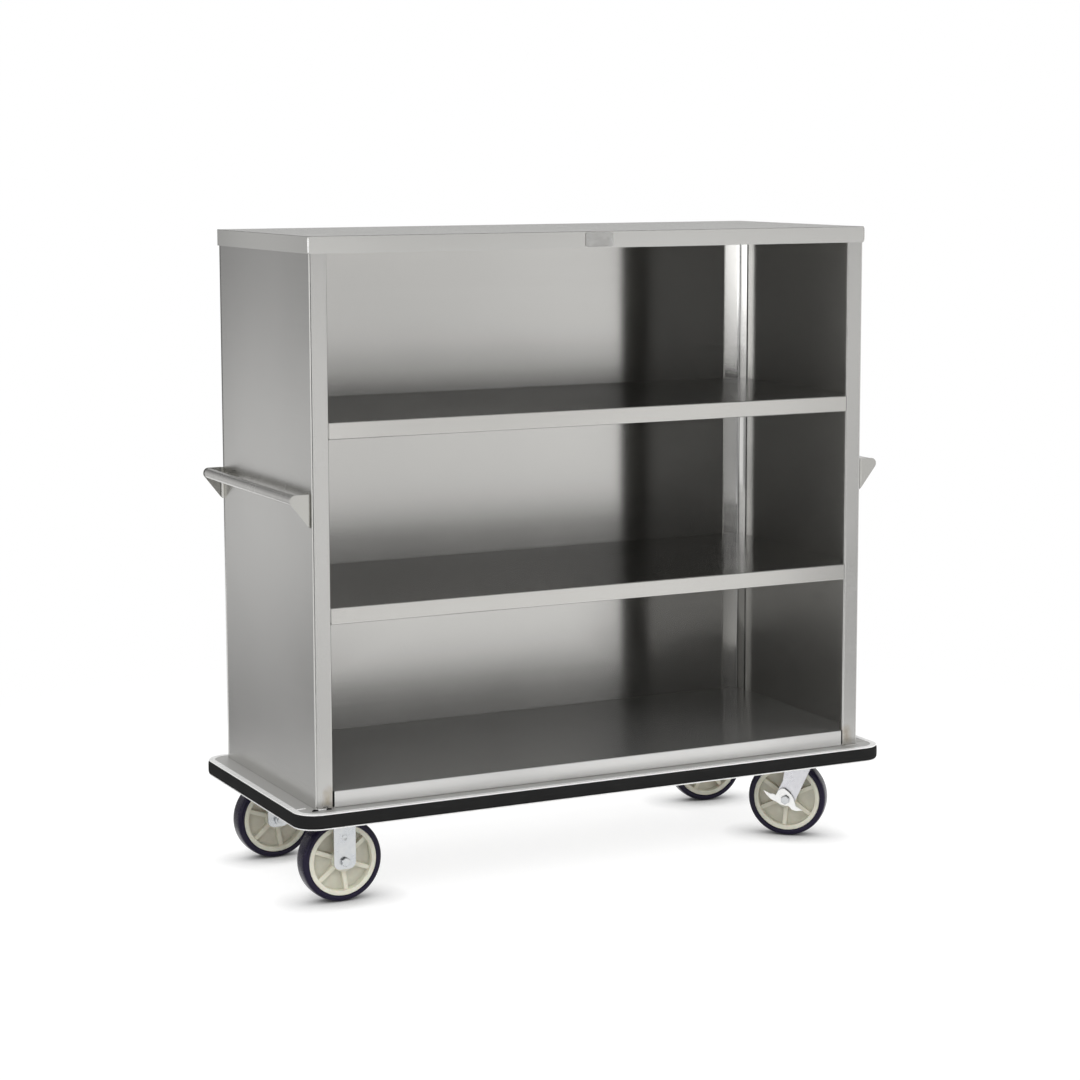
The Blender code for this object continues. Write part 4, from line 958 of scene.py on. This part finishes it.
def make_welds(skins):
    """Corner beads: near white at the left end, a painted highlight, and in the cap's and deck's own finishes
    at the right.
    """
    cap_low, cap_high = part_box("top_cap")
    deck_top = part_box("base_deck")[1].z
    near, far, front = front_return()
    cap_y = cap_low.y + CAP_WELD_SINK
    on_deck, on_foot = deck_top + DECK_WELD_LIFT, deck_top + FOOT_WELD_LIFT
    foot_y = front - FOOT_WELD_PROUD
    for side, name, cap_weld, deck_weld in ((-1, "left", "weld", "weld"), (1, "right", "cap", "deck")):
        edge = side * (cap_high.x - CAP_WELD_SINK)
        low, high = (edge, cap_y, cap_low.z + CAP_WELD_FOOT), (edge, cap_y, cap_high.z - CAP_WELD_TOP)
        bead(f"{name}_cap_corner_weld", low, high, skins[cap_weld], *CAP_BEAD)
        start, end = ((side * (far + reach), front + depth, on_deck) for reach, depth in DECK_WELD_ENDS)
        bead(f"{name}_deck_weld", start, end, skins[deck_weld], *DECK_BEAD)
        start, end = ((side * x, foot_y, on_foot) for x in (far + FOOT_OVERHANG, near + FOOT_WELD_INSET))
        bead(f"{name}_foot_weld", start, end, skins[deck_weld], *FOOT_BEAD)


def dark_wedge(name, spots, height, skin):
    """Painted shade of a small opening in a corner: a dark wedge that stands a hair above the sheet."""
    head = [(x, y, z + height) for x, y, z in spots]
    add_fitting(name, joined((spots, head)), skin)


def make_joints(skins):
    """Painted shade: dark strips in the gaps beside the bottom shelf's face, and dark wedges in the open
    corners at the left post's foot.
    """
    deck_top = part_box("base_deck")[1].z
    low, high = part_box("bottom_shelf")
    near, far, front = front_return()
    foot = low.z + SHELF_GAP_SHADE_LIFT
    for side, name in SIDES:
        outer, inner = side * (near + 0.0002), side * (near - 0.0024)
        proud, sunk = front - 0.0003, front + 0.0004
        slot = [(outer, proud, foot), (inner, proud, foot), (inner, sunk, foot), (outer, sunk, foot)]
        dark_wedge(f"{name}_shelf_gap_shade", slot, high.z - foot, skins["joint"])
    for name, reach, size in (
        ("left_foot_gap_shade", far + FOOT_OVERHANG, 0.0080),
        ("left_inner_foot_gap_shade", near + INNER_NOTCH_INSET, 0.0065),
    ):
        notch = [
            (-reach - size, front - NOTCH_FRONT, deck_top), (-reach + size, front - NOTCH_FRONT, deck_top),
            (-reach, front - NOTCH_BACK, deck_top),
        ]
        dark_wedge(name, notch, NOTCH_HEIGHT, skins["joint"])


def make_plate_bolts(skins):
    """Four hexagon bolts under each caster plate."""
    levels = [(-0.002, PLATE_BOLT_RADIUS, False), (0.0, PLATE_BOLT_RADIUS, False)]
    levels += hex_head_levels(0.0, PLATE_BOLT_HEIGHT, PLATE_BOLT_WIDTH, 1)[2:]
    downwards = Matrix.Rotation(math.radians(-90.0), 4, "X")
    for corner in CORNERS:
        low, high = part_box(f"{corner}_caster_{'plate' if corner.endswith('right') else 'frame'}")
        centre = (low + high) / 2
        for index, (way_x, way_y) in enumerate(((-1, -1), (1, -1), (1, 1), (-1, 1))):
            x, y = centre.x + way_x * PLATE_BOLT_X, centre.y + way_y * PLATE_BOLT_Y
            matrix = Matrix.Translation((x, y, high.z - PLATE_THICKNESS)) @ downwards
            add_fitting(f"{corner}_plate_bolt_{index}", turned_solid(levels), skins[ZINC], matrix)


def make_leg_dimples(skins):
    """A plug weld on the outer face of each rigid caster's leg."""
    for corner, side in (("front_left", -1), ("rear_left", 1)):
        low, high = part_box(f"{corner}_caster_frame")
        face = low.y + LEG_FACE_INSET if side < 0 else high.y - LEG_FACE_INSET
        levels = [(side * outwards, reach, False) for outwards, reach in DIMPLE_LEVELS]
        spot = Matrix.Translation(((low.x + high.x) / 2, face, DIMPLE_HEIGHT))
        add_fitting(f"{corner}_leg_dimple", turned_solid(levels), skins[ZINC], spot)


def make_name_plate(skins):
    """A bare plate with round corners, a raised rim and two small pins."""
    low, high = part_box("name_plate_blank")
    half_x, half_z = (high.x - low.x) / 2, (high.z - low.z) / 2
    centre = (low + high) / 2
    rows = []
    for inset, y in (
        (0.0, high.y), (0.0, low.y + 0.0003), (0.0003, low.y), (0.0016, low.y), (0.0021, low.y + 0.0004),
    ):
        spots = rounded_loop(half_x - inset, half_z - inset, PLATE_CORNER - inset, 8)
        rows.append([(centre.x + x, y, centre.z + z) for x, z in spots])
    plate = add_object("name_plate_fine", joined(rows), skins["blank_plate_metal"])
    stand_for(plate, "name_plate_blank", "cart")
    for side, name in SIDES:
        spot = Matrix.Translation((centre.x + side * (half_x - PIN_INSET), low.y + 0.0005, centre.z))
        add_fitting(f"name_plate_{name}_pin", turned_solid(PIN_LEVELS, 20), skins[ZINC], spot)


# Finish of the CAD nodes that stay
def by_ending(name, table, other):
    """The table's value for the ending, or group of endings, that the name has, or else the other."""
    return next((value for endings, value in table.items() if name.endswith(endings)), other)


def dress_cad_nodes(skins):
    for name, item in frame["nodes"].items():
        if item.hide_render:
            continue
        slot = by_ending(name, NODE_SLOTS, PANEL)
        item.data.materials.clear()
        item.data.materials.append(skins[by_ending(name, NODE_FINISHES, slot)])
        width = by_ending(name, SOFT_EDGES, 0.0)
        if width:
            soften(item, width)


# Stage, light and camera
WHITE = (1.0, 1.0, 1.0, 1.0)


def plane(name, spots, skin):
    shape = bmesh.new()
    shape.faces.new([shape.verts.new(spot) for spot in spots])
    item = add_object(name, shape, skin)
    return item


def floor_skin():
    """Grey to the light it bounces, but close to white to the camera and to reflections.

    There it glows, less under the cart, so that the shadow stays, and is pure white farther out."""
    material = bpy.data.materials.new("studio_floor")
    material.use_nodes = True
    nodes = Nodes(material.node_tree)
    nodes.tree.nodes.clear()
    near = nodes.node("ShaderNodeAmbientOcclusion", samples=8)
    near.inputs["Distance"].default_value = 0.10
    open_share = nodes.math("POWER", near.outputs["AO"], 1.7)
    glow = nodes.first("ShaderNodeEmission", open_share, 0.78)
    faint = nodes.first("ShaderNodeBsdfDiffuse", (0.34, 0.34, 0.34, 1.0))
    close = nodes.first("ShaderNodeAddShader", faint, glow)
    away = nodes.node("ShaderNodeVectorMath", nodes.place(), operation="LENGTH").outputs["Value"]
    fade = nodes.first("ShaderNodeMapRange", away, 1.1, 2.6, interpolation_type="SMOOTHSTEP")
    white = nodes.first("ShaderNodeEmission", WHITE, 1.0)
    shown = nodes.first("ShaderNodeMixShader", fade, close, white)
    plain = nodes.first("ShaderNodeBsdfDiffuse", (0.80, 0.80, 0.80, 1.0))
    nodes.node("ShaderNodeOutputMaterial", nodes.first("ShaderNodeMixShader", nodes.seen(), plain, shown))
    return material


def card_skin(name, stops, axis="Z", more_stops=()):
    """A card whose glow follows (place along the axis, level) stops; more stops across it add to it."""
    skin = Skin(name)
    places = skin.split(skin.place())
    across = "X" if axis == "Z" else "Z"
    glow = stops[0][1] + (more_stops[0][1] if more_stops else 0.0)
    for along, row in ((places[axis], stops), (places[across], more_stops)):
        for (low, first), (high, second) in zip(row, row[1:]):
            glow = skin.add(skin.remap(along, low, high, 0.0, second - first), glow)
    skin.shader.inputs["Emission Color"].default_value = WHITE
    skin.feed(skin.shader.inputs["Emission Strength"], glow)
    skin.shader.inputs["Specular IOR Level"].default_value = 0.0
    return skin.finish((0.0, 0.0, 0.0, 1.0), 1.0)


def even_card(name, level):
    return card_skin(name, [(0.0, level), (1.0, level)])


def standing(start, end, low, high):
    return [(*start, low), (*end, low), (*end, high), (*start, high)]


def lying(height, *corners):
    return [(*corner, height) for corner in corners]


def make_cards():
    """What the metal mirrors: (skin, corners) of each card.

    Rugs lie at their own heights, so that no two of them share a plane."""
    dark = even_card("dark_card", 0.10)
    pale = even_card("pale_rug", 0.44)
    light = even_card("light_rug", 0.58)
    grey = even_card("grey_rug", 0.36)
    patch = even_card("bright_patch", 0.85)
    ceiling = even_card("dim_ceiling", 0.36)
    window = even_card("window_glow", 2.3)
    black = even_card("black_card", 0.02)
    left_stops = [(0.05, 0.36), (0.60, 0.72), (0.90, 0.72), (1.45, 0.44)]
    left_sides = [(-1.42, -0.09), (-1.34, 0.0), (-1.21, 0.0), (-1.14, -0.12)]
    left_wall = card_skin("left_wall_glow", left_stops, more_stops=left_sides)
    rear_wall = card_skin("rear_wall_glow", [(-0.8, 0.18), (0.2, 0.46)], "X")
    strip_stops = [(2.3, 1.32), (2.8, 1.12), (3.6, 1.20), (4.4, 1.34), (5.6, 1.32)]
    strip_foot = [(0.0, -0.72), (0.45, -0.34), (0.8, 0.0)]
    strip = card_skin("front_strip_glow", strip_stops, "X", more_stops=strip_foot)
    front_left, front_right = (-3.4, -7.9), (1.2, -7.9)
    sill, lintel = 0.80, 1.75
    return {
        "camera_side_card": (dark, standing((-1.8, -2.6), (-0.25, -2.6), 0.0, 3.0)),
        "dark_rug": (dark, lying(0.010, (-1.45, -2.6), (-0.62, -2.6), (0.0, -1.5), (-0.78, -1.5))),
        "right_rug": (pale, lying(0.006, (1.05, -1.2), (2.6, -1.2), (6.0, -6.0), (4.7, -6.4))),
        "left_foot_rug": (light, lying(0.006, (-2.4, -0.3), (-0.82, -0.3), (-0.82, 1.4), (-2.4, 1.4))),
        "near_rug": (grey, lying(0.005, (-0.2, -2.6), front_right, front_left, (-1.7, -4.2))),
        "post_rug": (grey, lying(0.004, (0.30, -1.0), (0.02, -2.6), (-0.2, -2.6), (0.10, -1.0))),
        "left_rug": (grey, lying(0.005, (-1.85, -2.6), (-5.6, -7.8), (-9.7, -7.8), (-3.0, -2.6))),
        "floor_patch": (patch, lying(0.008, (-1.9, -5.7), (0.1, -5.7), (0.1, -4.7), (-1.9, -4.7))),
        "low_front_card": (grey, standing(front_left, front_right, 0.0, sill)),
        "window_card": (window, standing(front_left, front_right, sill, lintel)),
        "left_window_card": (window, standing((-9.5, -6.5), (-6.0, -8.5), 0.62, 2.2)),
        "high_front_card": (black, standing((-3.0, -8.0), (10.0, -8.0), lintel, 5.0)),
        "front_strip_card": (strip, standing((1.2, -7.8), (9.0, -7.8), 0.0, 1.74)),
        "left_wall_card": (left_wall, standing((-5.0, 1.4), (-0.95, 1.4), 0.0, 2.4)),
        "rear_wall_card": (rear_wall, standing((-7.0, 5.0), (7.0, 5.0), 0.0, 3.6)),
        "ceiling_card": (ceiling, lying(6.5, (-6.0, -5.0), (6.0, -5.0), (6.0, 5.0), (-6.0, 5.0))),
    }


def make_stage():
    """A floor, and cards that only reflections and refractions see."""
    reach = 12.0
    corners = lying(0.0, (-reach, -reach), (reach, -reach), (reach, reach), (-reach, reach))
    floor = plane("floor", corners, floor_skin())
    floor.visible_shadow = False
    for name, (skin, spots) in make_cards().items():
        card = plane(name, spots, skin)
        card.visible_camera = False
        card.visible_diffuse = False
        card.visible_shadow = False


def make_world():
    """White to the camera and to reflections, and a softer light to everything else."""
    world = bpy.data.worlds.new("studio")
    bpy.context.scene.world = world
    world.use_nodes = True
    nodes = Nodes(world.node_tree)
    nodes.tree.nodes.clear()
    soft = nodes.first("ShaderNodeBackground", WHITE, 0.80)
    white = nodes.first("ShaderNodeBackground", WHITE, 1.0)
    nodes.node("ShaderNodeOutputWorld", nodes.first("ShaderNodeMixShader", nodes.seen(), soft, white))


def softbox(name, place, target, size, power):
    data = bpy.data.lights.new(name, "AREA")
    data.shape = "SQUARE"
    data.size = size
    data.energy = power
    lamp = in_scene(name, data)
    lamp.location = place
    lamp.rotation_mode = "QUATERNION"
    lamp.rotation_quaternion = (Vector(target) - Vector(place)).to_track_quat("-Z", "Y")
    lamp.visible_glossy = False


def make_lights():
    softbox("key_light", (-3.4, -4.2, 4.2), (0.0, 0.0, 0.7), 2.6, 120.0)
    softbox("fill_light", (4.2, -3.6, 2.4), (0.0, 0.0, 0.7), 2.6, 70.0)
    softbox("rear_light", (0.5, 4.6, 3.6), (0.0, 0.0, 0.8), 3.0, 80.0)


def make_camera():
    data = bpy.data.cameras.new("camera")
    data.lens = CAMERA_LENS
    data.shift_y = CAMERA_SHIFT
    camera = in_scene("camera", data)
    yaw, pitch, roll = (math.radians(turn) for turn in (CAMERA_YAW_DEG, CAMERA_PITCH_DEG, CAMERA_ROLL_DEG))
    forward = Vector((math.sin(yaw) * math.cos(pitch), math.cos(yaw) * math.cos(pitch), -math.sin(pitch)))
    level = Vector((math.cos(yaw), -math.sin(yaw), 0.0))
    upright = level.cross(forward)
    right = level * math.cos(roll) + upright * math.sin(roll)
    up = upright * math.cos(roll) - level * math.sin(roll)
    turn = Matrix((right, up, -forward)).transposed().to_4x4()
    camera.matrix_world = Matrix.Translation(CAMERA_PLACE) @ turn
    bpy.context.scene.camera = camera


skins = make_skins()
make_wheels(skins)
make_axle_bolts(skins)
make_handles(skins)
make_bumper(skins)
make_side_panels(skins)
make_corner_angles(skins)
make_brackets(skins)
make_welds(skins)
make_joints(skins)
make_plate_bolts(skins)
make_leg_dimples(skins)
make_name_plate(skins)
dress_cad_nodes(skins)
make_stage()
make_world()
make_lights()
make_camera()
bpy.context.scene.view_settings.view_transform = "Standard"
